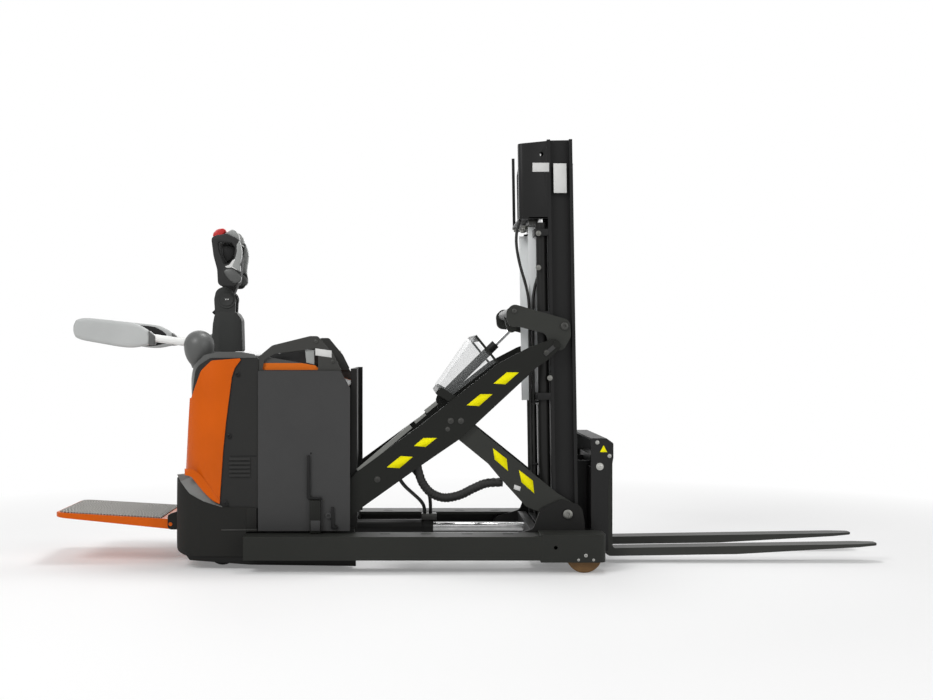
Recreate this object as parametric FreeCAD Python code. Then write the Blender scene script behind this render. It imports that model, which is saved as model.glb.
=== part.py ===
import FreeCAD, Part
import math
import os

from FreeCAD import Vector

# Electric pallet stacker with a stand-on platform, straddle legs and a
# mast carried on a reach linkage. Millimetres. X runs from the operator
# to the fork tips, Y across, Z up from the floor.
# X is first measured from a datum across the legs, then every piece is
# shifted so that the origin lies under the middle of the whole machine.

# Driving sizes, along the machine
platformRearX = -1537.0
platformHingeX = -1032.0
tractorRearX = -993.0
batteryBayRearX = -639.0
bayFrontX = -252.0
armPivotX = -301.0
wheelX = 722.0
legFrontX = 810.0
housingRearX = 540.0
forkHeelX = 878.0
forkBladeLength = 1158.0
middleX = (platformRearX + forkHeelX + forkBladeLength) / 2.0

# Driving sizes, across the machine, from the centre plane
legOuterY = 511.0
legInnerY = 363.0
bodyHalf = 400.0
longArmInnerY = 349.0
shortArmInnerY = 331.0
armPlate = 12.0
railOuterY = 322.0
railWidth = 64.0
bayHalf = 340.0
gateY = 280.0
casterY = 250.0

# Driving sizes, upward
legBottomZ = 55.0
legTopZ = 152.5
housingBottomZ = 47.0
housingTopZ = 161.0
deckZ = 245.0
armPivotZ = 229.0
mastTopZ = 1822.0
mastBottomZ = 70.0
forkTopZ = 65.0
panelBottomZ = 162.0
panelTopZ = 835.0
tillerPivotZ = 1154.0
tillerPivotX = -826.0
steerX = -820.0
gateHubX = -906.0
gateHubZ = 948.0
platformZ = 193.0

# Reach linkage: two equal arm halves make the mast foot run level
armHalf = 620.0
armAngle = 39.0
mastLean = 0.9
footX = armPivotX + 2.0 * armHalf * math.cos(math.radians(armAngle))
footZ = armPivotZ
crankRollerHeight = 785.0
runningGap = 0.3
seatGap = 0.3
steel = 8.0


def rounded(corners):
    # corners: rows of first coordinate, second coordinate, corner radius
    points = [Vector(row[0], row[1], 0) for row in corners]
    count = len(points)
    entries = []
    for index, row in enumerate(corners):
        here = points[index]
        back = (points[index - 1] - here).normalize()
        ahead = (points[(index + 1) % count] - here).normalize()
        if row[2] <= 0:
            entries.append((here, None, here))
            continue
        half = back.getAngle(ahead) / 2.0
        reach = row[2] / math.tan(half)
        middle = (back + ahead).normalize()
        centre = here + middle * (row[2] / math.sin(half))
        entries.append((here + back * reach, centre - middle * row[2], here + ahead * reach))
    edges = []
    for index, (start, bulge, end) in enumerate(entries):
        if bulge is not None:
            edges.append(Part.Arc(start, bulge, end).toShape())
        following = entries[(index + 1) % count][0]
        if (following - end).Length > 0.001:
            edges.append(Part.LineSegment(end, following).toShape())
    return Part.Wire(edges)


def prism(corners, axis, low, high):
    # axis y: corners are x, z; axis z: corners are x, y; axis x: corners are y, z
    face = Part.Face(rounded(corners))
    if axis == "z":
        face.translate(Vector(0, 0, low))
        return face.extrude(Vector(0, 0, high - low))
    if axis == "y":
        face.rotate(Vector(0, 0, 0), Vector(1, 0, 0), 90)
        face.translate(Vector(0, low, 0))
        return face.extrude(Vector(0, high - low, 0))
    face.rotate(Vector(0, 0, 0), Vector(1, 0, 0), 90)
    face.rotate(Vector(0, 0, 0), Vector(0, 0, 1), 90)
    face.translate(Vector(low, 0, 0))
    return face.extrude(Vector(high - low, 0, 0))


def block(x0, x1, y0, y1, z0, z1):
    return Part.makeBox(x1 - x0, y1 - y0, z1 - z0, Vector(x0, y0, z0))


def rodY(x, z, radius, y0, y1):
    return Part.makeCylinder(radius, y1 - y0, Vector(x, y0, z), Vector(0, 1, 0))


def rodZ(x, y, radius, z0, z1):
    return Part.makeCylinder(radius, z1 - z0, Vector(x, y, z0), Vector(0, 0, 1))


def rodX(y, z, radius, x0, x1):
    return Part.makeCylinder(radius, x1 - x0, Vector(x0, y, z), Vector(1, 0, 0))


def fused(pieces):
    whole = pieces[0].multiFuse(pieces[1:])
    return whole.removeSplitter()


def mirrored(shape):
    return shape.mirror(Vector(0, 0, 0), Vector(0, 1, 0))


def bothSides(shape):
    return [shape, mirrored(shape)]


saved = []


def save(name, shapes):
    solids = []
    for shape in shapes if isinstance(shapes, list) else [shapes]:
        solids.extend(shape.Solids)
    moved = [solid.translated(Vector(-middleX, 0, 0)) for solid in solids]
    whole = moved[0] if len(moved) == 1 else Part.makeCompound(moved)
    whole.exportStep("parts/" + name + ".step")
    saved.append(name)


def saveSides(name, shape):
    save(name + "_left", shape)
    save(name + "_right", mirrored(shape))


def alongArm(t, n):
    # t runs from the arm's pivot along its centre line, n stands square to it, upward
    angle = math.radians(armAngle)
    x = armPivotX + t * math.cos(angle) - n * math.sin(angle)
    z = armPivotZ + t * math.sin(angle) + n * math.cos(angle)
    return x, z


def alongShortArm(s, m):
    # s runs from the middle pivot down to the mast foot, m stands square to it, upward
    angle = math.radians(armAngle)
    startX, startZ = alongArm(armHalf, 0)
    x = startX + s * math.cos(angle) + m * math.sin(angle)
    z = startZ - s * math.sin(angle) + m * math.cos(angle)
    return x, z


def placed(rows, way):
    return [way(row[0], row[1]) + (row[2],) for row in rows]


# Legs: channels open towards the middle, closed by a web beside the frame
legWall = 12.0
legClosedFrontX = -236.0
legRearX = -688.0
slotLength = 47.0
slotWidth = 14.0
slotPitch = 172.0
slotFirstX = -128.0
slotCount = 4
wheelRadius = 75.0
wheelWidth = 100.0
wheelGap = 7.0
housingWall = 19.0
housingOuterY = legOuterY + 2.0
housingInnerY = legInnerY - 2.0
housingRoof = 6.0
axleRadius = 15.0
bracketHoleX = 601.0
bracketHoleZ = 108.0
bracketHoleRadius = 8.0
wheelMiddleY = (housingOuterY + housingInnerY) / 2.0


def leg():
    beam = block(legRearX, housingRearX + 5, legInnerY, legOuterY, legBottomZ, legTopZ)
    hollow = block(legClosedFrontX, wheelX - wheelRadius - wheelGap - 22, legInnerY - 5,
                   legOuterY - legWall, legBottomZ + legWall, legTopZ - legWall)
    tail = block(legRearX + legWall, legClosedFrontX - legWall, legInnerY + legWall,
                 legOuterY - legWall, legBottomZ + legWall, legTopZ - legWall)
    nose = prism([(housingRearX, housingInnerY, 0), (housingRearX, housingOuterY, 8),
                  (legFrontX, housingOuterY, 34), (legFrontX, housingInnerY, 34)],
                 "z", housingBottomZ, housingTopZ)
    pocket = block(wheelX - wheelRadius - wheelGap, wheelX + wheelRadius + wheelGap,
                   housingInnerY + housingWall, housingOuterY - housingWall,
                   housingBottomZ - 5, housingTopZ - housingRoof)
    shape = beam.fuse(nose).cut(tail).cut(hollow).cut(pocket)
    for index in range(slotCount):
        start = slotFirstX + index * slotPitch
        middleY = (legInnerY + legOuterY) / 2.0 - 20
        rows = [(start, middleY - slotWidth / 2, 6.5), (start + slotLength, middleY - slotWidth / 2, 6.5),
                (start + slotLength, middleY + slotWidth / 2, 6.5), (start, middleY + slotWidth / 2, 6.5)]
        shape = shape.cut(prism(rows, "z", legTopZ - legWall - 2, legTopZ + 2))
    shape = shape.cut(rodY(bracketHoleX, bracketHoleZ, bracketHoleRadius,
                           legOuterY - legWall - 5, housingOuterY + 5))
    axle = rodY(wheelX, wheelRadius, axleRadius, housingInnerY + 5, housingOuterY - 5)
    return shape.fuse(axle).removeSplitter()


def loadWheel():
    low = wheelMiddleY - wheelWidth / 2
    tyre = rodY(wheelX, wheelRadius, wheelRadius, low, low + wheelWidth)
    tyre = tyre.makeChamfer(4, [tyre.Edges[0], tyre.Edges[2]])
    return tyre.cut(rodY(wheelX, wheelRadius, axleRadius + runningGap, low - 5, low + wheelWidth + 5))


# Frame: deck over the wheels, battery tray, arm pivots and the front bulkhead
railTopZ = 160.0
railBottomZ = 35.0
sideRail = 40.0
deckPlate = 12.0
trayZ = 164.0
trayPlate = 8.0
pivotPinRadius = 25.0
lugWidth = 24.0
lugInnerY = bayHalf - lugWidth
pinEndY = 376.0
bulkheadTopZ = 844.0
bulkheadDepth = 27.0
bulkheadPlate = 8.0


def frame():
    outer = legInnerY - seatGap
    pieces = [planBlock(skirtInnerX + seatGap, outer, skirtInnerRadius, deckZ, deckZ + deckPlate,
                        batteryBayRearX)]
    pieces.append(block(batteryBayRearX - deckPlate, batteryBayRearX, -outer, outer, railBottomZ,
                        deckZ + deckPlate))
    pieces.append(block(batteryBayRearX, legClosedFrontX, -outer, outer, trayZ, trayZ + trayPlate))
    for side in (-1, 1):
        rail = block(batteryBayRearX - 5, legClosedFrontX, outer - sideRail, outer, railBottomZ, trayZ)
        lug = prism([(armPivotX - 55, trayZ, 0), (legClosedFrontX, trayZ, 0),
                     (legClosedFrontX, trayZ + 40, 10), (armPivotX + 45, armPivotZ + 45, 30),
                     (armPivotX - 45, armPivotZ + 45, 30)], "y", lugInnerY, bayHalf)
        pin = rodY(armPivotX, armPivotZ, pivotPinRadius, bayHalf - 5, pinEndY)
        for piece in (rail, lug, pin):
            pieces.append(piece if side > 0 else mirrored(piece))
    web = prism([(bayFrontX, -bayHalf, 0), (bayFrontX + bulkheadDepth, -bayHalf, 0),
                 (bayFrontX + bulkheadDepth, -bayHalf + bulkheadPlate, 0),
                 (bayFrontX + bulkheadPlate, -bayHalf + bulkheadPlate, 4),
                 (bayFrontX + bulkheadPlate, bayHalf - bulkheadPlate, 4),
                 (bayFrontX + bulkheadDepth, bayHalf - bulkheadPlate, 0),
                 (bayFrontX + bulkheadDepth, bayHalf, 0), (bayFrontX, bayHalf, 0)],
                "z", trayZ, bulkheadTopZ)
    pieces.append(web)
    return fused(pieces)


# Battery: one heavy block on the tray, side panels and hood around it
batteryLength = 284.0
batteryHeight = 600.0


def battery():
    rear = batteryBayRearX + 4
    bottom = trayZ + trayPlate
    half = lugInnerY - 6
    return block(rear, rear + batteryLength, -half, half, bottom, bottom + batteryHeight)


sidePanel = 12.0
chamferX = 40.0
chamferZ = 72.0


def batterySide():
    front = bayFrontX
    rows = [(batteryBayRearX, panelBottomZ, 0), (front, panelBottomZ, 4),
            (front, panelTopZ - chamferZ, 10), (front - chamferX, panelTopZ, 10),
            (batteryBayRearX, panelTopZ, 0)]
    return prism(rows, "y", bodyHalf - sidePanel, bodyHalf)


# rows: x, z, corner radius
guardOutline = [
    (-639.0, 831.0, 0), (-639.0, 894.0, 14), (-580.0, 943.0, 30), (-422.0, 982.0, 30),
    (-388.0, 982.0, 16), (-321.0, 901.0, 16), (-290.0, 839.0, 0), (-296.0, 826.0, 0)]
guardWindow = [
    (-622.0, 839.0, 4), (-614.0, 881.0, 14), (-572.0, 907.0, 20), (-387.0, 932.0, 8),
    (-387.0, 839.0, 4)]


def guardPlate():
    outer = prism(guardOutline, "y", bodyHalf - sidePanel - steel, bodyHalf - sidePanel)
    window = prism(guardWindow, "y", bodyHalf - 40, bodyHalf + 10)
    return outer.cut(window)


hoodSeatZ = trayZ + trayPlate + batteryHeight + seatGap
# rows: x, z, corner radius
hoodProfile = [
    (-634.0, hoodSeatZ, 0), (-634.0, 880.0, 30), (-600.0, 893.0, 20), (-400.0, 858.0, 12),
    (-345.0, 800.0, 20), (-256.0, hoodSeatZ, 0)]
lidProfile = [
    (-634.0, 893.4, 0), (-600.0, 893.4, 0), (-400.0, 858.4, 0), (-352.0, 858.4, 10),
    (-372.0, 924.0, 24), (-572.0, 908.0, 24)]


def hood():
    return prism(hoodProfile, "y", -bodyHalf + 24, bodyHalf - 24)


def hoodLid():
    return prism(lidProfile, "y", -bodyHalf + 60, bodyHalf - 60)


# Tractor: the housing over the drive wheel, its orange panels, cap and skirt
tractorTopZ = 890.0
cornerRadius = 120.0
panelProud = 7.0
coreHalf = bodyHalf - panelProud
skirtWall = 40.0
skirtInnerX = tractorRearX - 6 + skirtWall
skirtInnerRadius = cornerRadius - 30.0
# rows: x, z, corner radius
panelOutline = [
    (-927.8, 728.0, 12), (-949.0, 410.0, 10), (-938.0, 345.0, 60), (-866.0, 292.0, 60),
    (-801.0, 268.0, 6), (-786.0, 497.0, 0), (-773.5, 620.7, 60), (-749.0, 811.0, 60),
    (-736.6, 848.0, 10), (-706.0, 889.0, 6), (-835.0, 879.0, 20), (-880.0, 836.0, 30)]
# rows: x, z, corner radius
coreRearX = -955.0
capRearX = -938.0
capInset = 5.0
coreProfile = [
    (coreRearX, deckZ + deckPlate, 0), (batteryBayRearX - seatGap, deckZ + deckPlate, 0),
    (batteryBayRearX - seatGap, tractorTopZ, 4), (-840.0, tractorTopZ, 30), (-905.0, 850.0, 60),
    (-925.0, 725.0, 40), (-948.0, 410.0, 30), (coreRearX, 330.0, 30)]
capProfile = [
    (-930.7, 725.0, 0), (capRearX, 790.0, 60), (-920.0, 855.0, 60), (-866.0, 903.6, 40),
    (-800.0, 916.0, 40), (-706.0, 914.0, 0), (-650.0, 905.0, 10), (-650.0, tractorTopZ + 0.3, 0),
    (-840.0, tractorTopZ + 0.3, 30), (-905.5, 850.0, 60), (-925.5, 725.0, 0)]


def planBlock(rearX, half, radius, low, high, frontX):
    rows = [(rearX, -half, radius), (frontX, -half, 0), (frontX, half, 0), (rearX, half, radius)]
    return prism(rows, "z", low, high)


def tractorCore():
    side = prism(coreProfile, "y", -coreHalf, coreHalf)
    return side.common(planBlock(coreRearX, coreHalf, cornerRadius, 200, 1000, batteryBayRearX))


def orangePanel():
    return prism(panelOutline, "y", coreHalf + seatGap, bodyHalf)


def topCap():
    half = bodyHalf - capInset
    side = prism(capProfile, "y", -half, half)
    cap = side.common(planBlock(capRearX, half, cornerRadius, 200, 1000, batteryBayRearX))
    return cap.cut(rodZ(steerX, 0, spindleRadius + runningGap, 800, 1000))


# rows: x, z, corner radius
skirtProfile = [
    (tractorRearX, 392.0, 6), (tractorRearX - 6, 140.0, 20), (tractorRearX, 72.0, 22),
    (-945.0, 56.0, 30), (legRearX - 1, 55.0, 0), (legRearX - 1, 262.0, 0), (-790.0, 262.0, 40),
    (-866.0, 286.0, 40), (-928.0, 318.0, 30), (-972.0, 366.0, 20)]


def skirt():
    side = prism(skirtProfile, "y", -bodyHalf, bodyHalf)
    outer = planBlock(tractorRearX - 6, bodyHalf, cornerRadius, 0, 500, legRearX - 1)
    inner = planBlock(skirtInnerX, legInnerY, skirtInnerRadius, 0, deckZ + deckPlate, legRearX + 5)
    half = coreHalf + seatGap
    core = prism(coreProfile, "y", -half, half).common(
        planBlock(coreRearX - seatGap, half, cornerRadius, 200, 1000, batteryBayRearX))
    shell = side.common(outer).cut(inner).cut(core)
    return fused([shell] + platformHinge())


# Drive unit under the deck, turned by the tiller
driveRadius = 115.0
driveWidth = 75.0
turntableRadius = 105.0


def driveUnit():
    table = rodZ(steerX, 0, turntableRadius, deckZ - 9, deckZ - runningGap)
    arm = prism([(steerX - 48, driveRadius - 40, 30), (steerX + 48, driveRadius - 40, 30),
                 (steerX + 60, deckZ - 8, 0), (steerX - 60, deckZ - 8, 0)], "y", 46, 92)
    axle = rodY(steerX, driveRadius, 20, -driveWidth / 2 + 5, 60)
    return fused([table, arm, axle])


def driveWheel():
    half = driveWidth / 2
    tyre = rodY(steerX, driveRadius, driveRadius, -half, half)
    tyre = tyre.makeChamfer(6, [tyre.Edges[0], tyre.Edges[2]])
    return tyre.cut(rodY(steerX, driveRadius, 20 + runningGap, -half - 5, half + 5))


casterRadius = 62.5
casterWidth = 50.0
casterTrail = 40.0
casterX = -845.0


def casterFork():
    plate = rodZ(casterX, casterY, 55, deckZ - 14, deckZ - runningGap)
    axleX = casterX + casterTrail
    rows = [(axleX - 22, casterRadius - 20, 18), (axleX + 22, casterRadius - 20, 18),
            (casterX + 45, deckZ - 12, 0), (casterX - 45, deckZ - 12, 0)]
    cheeks = []
    for low in (casterY - casterWidth / 2 - 11, casterY + casterWidth / 2 + 5):
        cheeks.append(prism(rows, "y", low, low + 6))
    crown = block(casterX - 45, casterX + 45, casterY - casterWidth / 2 - 11,
                  casterY + casterWidth / 2 + 11, deckZ - 26, deckZ - 12)
    axle = rodY(axleX, casterRadius, 8, casterY - casterWidth / 2 - 14, casterY + casterWidth / 2 + 14)
    return fused([plate, crown, axle] + cheeks)


def casterWheel():
    low = casterY - casterWidth / 2
    axleX = casterX + casterTrail
    tyre = rodY(axleX, casterRadius, casterRadius, low, low + casterWidth)
    tyre = tyre.makeChamfer(5, [tyre.Edges[0], tyre.Edges[2]])
    return tyre.cut(rodY(axleX, casterRadius, 8 + runningGap, low - 5, low + casterWidth + 5))


# Tiller: column on the steering axis, head hinged on it, loop grips
columnTopZ = 1095.0
tillerDiscRadius = 50.0
spindleRadius = 34.0
headLow = 1232.0
headHigh = 1440.0


def tillerColumn():
    rows = [(-889.0, 917.0, 10), (-748.0, 917.0, 10), (-752.0, 1060.0, 40), (-775.0, columnTopZ, 30),
            (-868.0, columnTopZ, 30), (-880.0, 1040.0, 40)]
    base = prism(rows, "y", -70, 70)
    base = base.common(prism([(-895, -70, 50), (-740, -70, 50), (-740, 70, 50), (-895, 70, 50)],
                             "z", 900, 1200))
    cheekRows = [(-868.0, 1060.0, 0), (-782.0, 1060.0, 0), (-778.0, 1150.0, 40),
                 (-800.0, 1204.0, 40), (-862.0, 1204.0, 38), (-874.0, 1150.0, 40)]
    cheeks = [prism(cheekRows, "y", 38, 58), prism(cheekRows, "y", -58, -38)]
    pin = rodY(tillerPivotX, tillerPivotZ, 10, -40, 40)
    spindle = rodZ(steerX, 0, spindleRadius, tractorTopZ + 1.5, 930.0)
    return fused([base, pin, spindle] + cheeks)


def tillerHead():
    disc = rodY(tillerPivotX, tillerPivotZ, tillerDiscRadius - 8, -36, 36)
    neckRows = [(-848.0, 1165.0, 10), (-800.0, 1150.0, 10), (-786.0, 1245.0, 10), (-822.0, 1250.0, 10)]
    neck = prism(neckRows, "y", -30, 30)
    headRows = [(-812.0, headLow, 16), (-762.0, headLow + 8, 16), (-790.0, 1400.0, 60),
                (-838.0, headHigh, 20), (-890.0, headHigh - 16, 16), (-872.0, 1396.0, 20)]
    head = prism(headRows, "y", -52, 52)
    bore = rodY(tillerPivotX, tillerPivotZ, 10 + runningGap, -50, 50)
    return fused([disc, neck, head] + tillerGrip()).cut(bore)


gripRadius = 15.0


def tillerGrip():
    # the loop: out from the head's foot, up each side and back over the top
    rise = Vector(-0.27, 0, 0.963)
    foot = Vector(-788.0, 0, headLow + 26)
    high = foot + rise * 165
    bend = 38.0
    out = 128.0
    solids = []
    for side in (-1, 1):
        y = Vector(0, side, 0)
        a = foot + y * 45
        b = foot + y * (out - bend)
        c = foot + y * out + rise * bend
        midLow = foot + y * (out - bend * 0.293) + rise * bend * 0.293
        d = high + y * out - rise * bend
        e = high + y * (out - bend)
        midHigh = high + y * (out - bend * 0.293) - rise * bend * 0.293
        f = high + y * 45
        path = Part.Wire([Part.LineSegment(a, b).toShape(), Part.Arc(b, midLow, c).toShape(),
                          Part.LineSegment(c, d).toShape(), Part.Arc(d, midHigh, e).toShape(),
                          Part.LineSegment(e, f).toShape()])
        profile = Part.Wire([Part.makeCircle(gripRadius, a, y)])
        solids.append(path.makePipeShell([profile], True, False))
    return solids


# Platform hinged behind the tractor, with its mat
platformHalf = 250.0
platformSlope = 3.3
platformMat = 4.0
hingeDrop = 20.0
hingePin = 8.0


def platformPiece(rows, low, high):
    piece = prism(rows, "y", low, high)
    piece.rotate(Vector(platformHingeX, 0, platformZ), Vector(0, 1, 0), platformSlope)
    return piece


def platform():
    rows = [(platformHingeX + 8, platformZ - 43, 6), (platformHingeX + 8, platformZ, 0),
            (platformRearX, platformZ, 6), (platformRearX, platformZ - 20, 6)]
    plate = platformPiece(rows, -platformHalf, platformHalf)
    edge = planBlock(platformRearX - 1, platformHalf, 55, 0, 400, platformHingeX + 60)
    pin = rodY(platformHingeX, platformZ - hingeDrop, hingePin, -262.0, 262.0)
    return plate.common(edge).fuse(pin).removeSplitter()


def platformMatPiece():
    rows = [(platformHingeX - 45, platformZ, 0), (platformHingeX - 45, platformZ + platformMat, 0),
            (platformRearX + 14, platformZ + platformMat, 0), (platformRearX + 14, platformZ, 0)]
    plate = platformPiece(rows, -platformHalf + 12, platformHalf - 12)
    edge = planBlock(platformRearX + 13, platformHalf - 12, 44, 0, 400, platformHingeX + 60)
    return plate.common(edge)


def platformHinge():
    # two ears on the deck's rear edge reach back to the platform's hinge pin
    pieces = []
    for y in (-262.0, 252.0):
        rows = [(tractorRearX - 4, 150.0, 6), (tractorRearX - 4, 230.0, 6),
                (platformHingeX - 12, 214.0, 16), (platformHingeX - 12, 150.0, 16)]
        ear = prism(rows, "y", y, y + 10)
        pieces.append(ear.cut(rodY(platformHingeX, platformZ - hingeDrop, hingePin + runningGap, -300, 300)))
    return pieces


# Side gates: tube arms with padded bars, on hubs at the tractor's shoulder
hubRadius = 60.0
gateTube = 16.5
gateRise = 8.0
padHalf = 22.0
# rows: x, z, corner radius
padOutline = [
    (-1441.0, 1016.7, 14), (-1408.0, 1061.7, 20), (-1173.0, 1036.0, 30), (-1094.0, 988.0, 8),
    (-1094.0, 962.0, 8), (-1151.0, 932.0, 20), (-1403.0, 966.5, 20)]


def gateHousing():
    outer = rodY(gateHubX, gateHubZ, hubRadius, gateY - 36, gateY + 36)
    foot = prism([(-930.0, 862.0, 0), (-838.0, 862.0, 0), (-850.0, 930.0, 10), (-950.0, 930.0, 10)],
                 "y", gateY - 36, gateY + 36)
    slot = rodY(gateHubX, gateHubZ, 44, gateY - 20, gateY + 20)
    mouth = prism([(gateHubX + 10, gateHubZ + 34, 0), (-1000.0, 1000.0, 0), (-1000.0, 800.0, 0),
                   (-936.0, 800.0, 0), (-904.0, 868.0, 0), (gateHubX + 10, gateHubZ - 30, 0)],
                  "y", gateY - 20, gateY + 20)
    pin = rodY(gateHubX, gateHubZ, 10, gateY - 30, gateY + 30)
    housing = outer.fuse(foot).cut(slot).cut(mouth).fuse(pin)
    # the cap's outer profile, filled down to its lower edge, is what the housing stands on
    filled = capProfile[:7] + [(capProfile[6][0], capProfile[0][1], 0)]
    for shift in (-seatGap, 0.0, seatGap):
        seat = prism(filled, "y", 0, bodyHalf)
        seat.translate(Vector(shift, 0, seatGap))
        housing = housing.cut(seat)
    return housing


def gate():
    hub = rodY(gateHubX, gateHubZ, 36, gateY - 17, gateY + 17)
    hub = hub.cut(rodY(gateHubX, gateHubZ, 10 + runningGap, gateY - 20, gateY + 20))
    start = Vector(gateHubX - 25, gateY, gateHubZ + 3.5)
    end = Vector(-1100.0, gateY, 975.0)
    way = end - start
    tube = Part.makeCylinder(gateTube, way.Length, start, way)
    return hub.fuse(tube).removeSplitter()


def gatePad():
    pad = prism(padOutline, "y", gateY - padHalf, gateY + padHalf)
    start = Vector(gateHubX - 25, gateY, gateHubZ + 3.5)
    way = Vector(-1100.0, gateY, 975.0) - start
    return pad.cut(Part.makeCylinder(gateTube, way.Length, start, way))


# Reach cylinder along the floor of the machine
reachZ = 130.0
barrelRadius = 32.0
reachRodRadius = 19.0
barrelRearX = -560.0
barrelFrontX = 104.0
footBeamRearX = footX - 150.0


def reachBarrel():
    barrel = rodX(0, reachZ, barrelRadius, barrelRearX, barrelFrontX)
    gland = rodX(0, reachZ, barrelRadius + 6, barrelFrontX - 46, barrelFrontX)
    foot = block(barrelRearX - 30, barrelRearX + 20, -24, 24, reachZ - 24, trayZ)
    bore = rodX(0, reachZ, reachRodRadius + 4, barrelRearX + 30, barrelFrontX - 30)
    mouth = rodX(0, reachZ, reachRodRadius + runningGap, barrelFrontX - 31, barrelFrontX + 5)
    return fused([barrel, gland, foot]).cut(bore).cut(mouth)


def reachRod():
    return rodX(0, reachZ, reachRodRadius, barrelFrontX - 50, footBeamRearX)


# Long arm: plates outboard, joined by the middle axle and a cross tube
# rows: along the arm, square to it, corner radius
longArmOutline = [
    (-52.0, -46.0, 40), (98.0, -41.0, 60), (400.0, -60.0, 200), (600.0, -76.0, 120),
    (1038.0, -46.0, 60), (1100.0, -50.0, 30), (1196.0, -42.0, 24), (1176.0, 4.0, 24),
    (1076.0, 40.0, 60), (925.0, 71.0, 200), (502.0, 75.0, 200), (165.0, 91.0, 80),
    (-52.0, 50.0, 46)]
middleTube = 45.0
crossTubeT = 420.0
crossTubeN = 20.0
crossTubeRadius = 30.0
crankPivotT = 1168.6
crankPivotN = -22.7
crankPinRadius = 15.0


def longArm():
    plate = prism(placed(longArmOutline, alongArm), "y", longArmInnerY, longArmInnerY + armPlate)
    plate = plate.cut(rodY(armPivotX, armPivotZ, pivotPinRadius + runningGap, 300, 400))
    x, z = alongArm(crankPivotT, crankPivotN)
    pin = rodY(x, z, crankPinRadius, shortArmInnerY - 3, longArmInnerY + armPlate + 6)
    return plate.fuse(pin).removeSplitter()


tiltBaseT = 644.0
tiltBaseN = 95.0
tiltEyeT = 1090.0
tiltEyeN = 139.5
lugGap = 11.0
lugPlate = 12.0


def longArmAxle():
    x, z = alongArm(armHalf, 0)
    tube = rodY(x, z, middleTube, -railOuterY - 3, railOuterY + 3)
    pin = rodY(x, z, pivotPinRadius, -longArmInnerY, longArmInnerY)
    pieces = [tube, pin]
    lugRows = [(armHalf - 38, 20, 0), (armHalf + 38, 20, 0), (tiltBaseT + 22, tiltBaseN + 10, 20),
               (tiltBaseT, tiltBaseN + 24, 20), (tiltBaseT - 24, tiltBaseN + 8, 20)]
    for low in (lugGap, -lugGap - lugPlate):
        pieces.append(prism(placed(lugRows, alongArm), "y", low, low + lugPlate))
    baseX, baseZ = alongArm(tiltBaseT, tiltBaseN)
    pieces.append(rodY(baseX, baseZ, 9, -lugGap - lugPlate - 5, lugGap + lugPlate + 5))
    return fused(pieces)


def longArmTube():
    x, z = alongArm(crossTubeT, crossTubeN)
    return rodY(x, z, crossTubeRadius, -longArmInnerY, longArmInnerY)


# Short arm: plates inboard, from the middle axle down to the mast foot
shortDepth = 43.0
# rows: along the arm, square to it, corner radius
shortArmOutline = [
    (-46.0, -shortDepth, 42), (230.0, -44.0, 20), (300.0, -58.0, 30), (470.0, -84.0, 20),
    (540.0, -62.0, 30), (640.0, -62.0, 50), (686.0, -10.0, 52), (660.0, 60.0, 46),
    (540.0, 44.0, 60), (-46.0, shortDepth, 42)]
shortTubeS = 190.0
shortTubeRadius = 22.0


def shortArm():
    plate = prism(placed(shortArmOutline, alongShortArm), "y", shortArmInnerY, shortArmInnerY + armPlate)
    x, z = alongArm(armHalf, 0)
    plate = plate.cut(rodY(x, z, pivotPinRadius + runningGap, 300, 400))
    return plate.cut(rodY(footX, footZ, pivotPinRadius + runningGap, 300, 400))


def shortArmTube():
    x, z = alongShortArm(shortTubeS, 0)
    return rodY(x, z, shortTubeRadius, -shortArmInnerY, shortArmInnerY)


# Mast foot: side plates with rollers in the legs, and the beam the reach rod pushes
footPlate = 10.0
footPlateY = shortArmInnerY + armPlate + 4
rollerRadius = 35.0
rollerZ = (legBottomZ + legTopZ) / 2.0
rollerBacks = (225.0, 88.0)


def mastFoot():
    rows = [(footX - 255, 60.0, 12), (footX + 78, 60.0, 12), (footX + 78, 190.0, 20),
            (footX + 66, 262.0, 40), (footX - 20, 292.0, 50), (footX - 110, 250.0, 30),
            (footX - 140, 165.0, 30), (footX - 255, 130.0, 20)]
    pieces = []
    for side in (-1, 1):
        plate = prism(rows, "y", footPlateY, footPlateY + footPlate)
        pin = rodY(footX, footZ, pivotPinRadius, railOuterY - railWidth / 2 - 1, footPlateY + 2)
        parts = [plate, pin]
        for back in rollerBacks:
            parts.append(rodY(footX - back, rollerZ, 14, footPlateY + 2, legInnerY + 30))
            parts.append(rodY(footX - back, rollerZ, rollerRadius, legInnerY + 14, legInnerY + 62))
        whole = fused(parts)
        pieces.append(whole if side > 0 else mirrored(whole))
    beam = block(footBeamRearX, footX - 112, -footPlateY - 1, footPlateY + 1, 64, 158)
    return fused(pieces + [beam])


# Mast: outer rails, bent crossbeam, lower tie, lift cylinders and clear guard
railHalf = 54.0
railFlange = 14.0
railWeb = 8.0
webOuterY = railOuterY - railWidth / 2 + railWeb / 2


def channelRail(outerY, width, low, high):
    # a rail with a groove outward and a groove inward
    innerY = outerY - width
    web = outerY - width / 2
    x0 = footX - railHalf
    x1 = footX + railHalf
    body = block(x0, x1, innerY, outerY, low, high)
    outward = block(x0 + railFlange, x1 - railFlange, web + railWeb / 2, outerY + 5, low - 5, high + 5)
    inward = block(x0 + railFlange, x1 - railFlange, innerY - 5, web - railWeb / 2, low - 5, high + 5)
    return body.cut(outward).cut(inward)


def leaned(shape):
    moved = shape.copy()
    moved.rotate(Vector(footX, 0, footZ), Vector(0, 1, 0), -mastLean)
    return moved


innerOuterY = 250.0
innerWidth = 54.0
mastRollerRadius = railHalf - railFlange - runningGap


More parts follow.
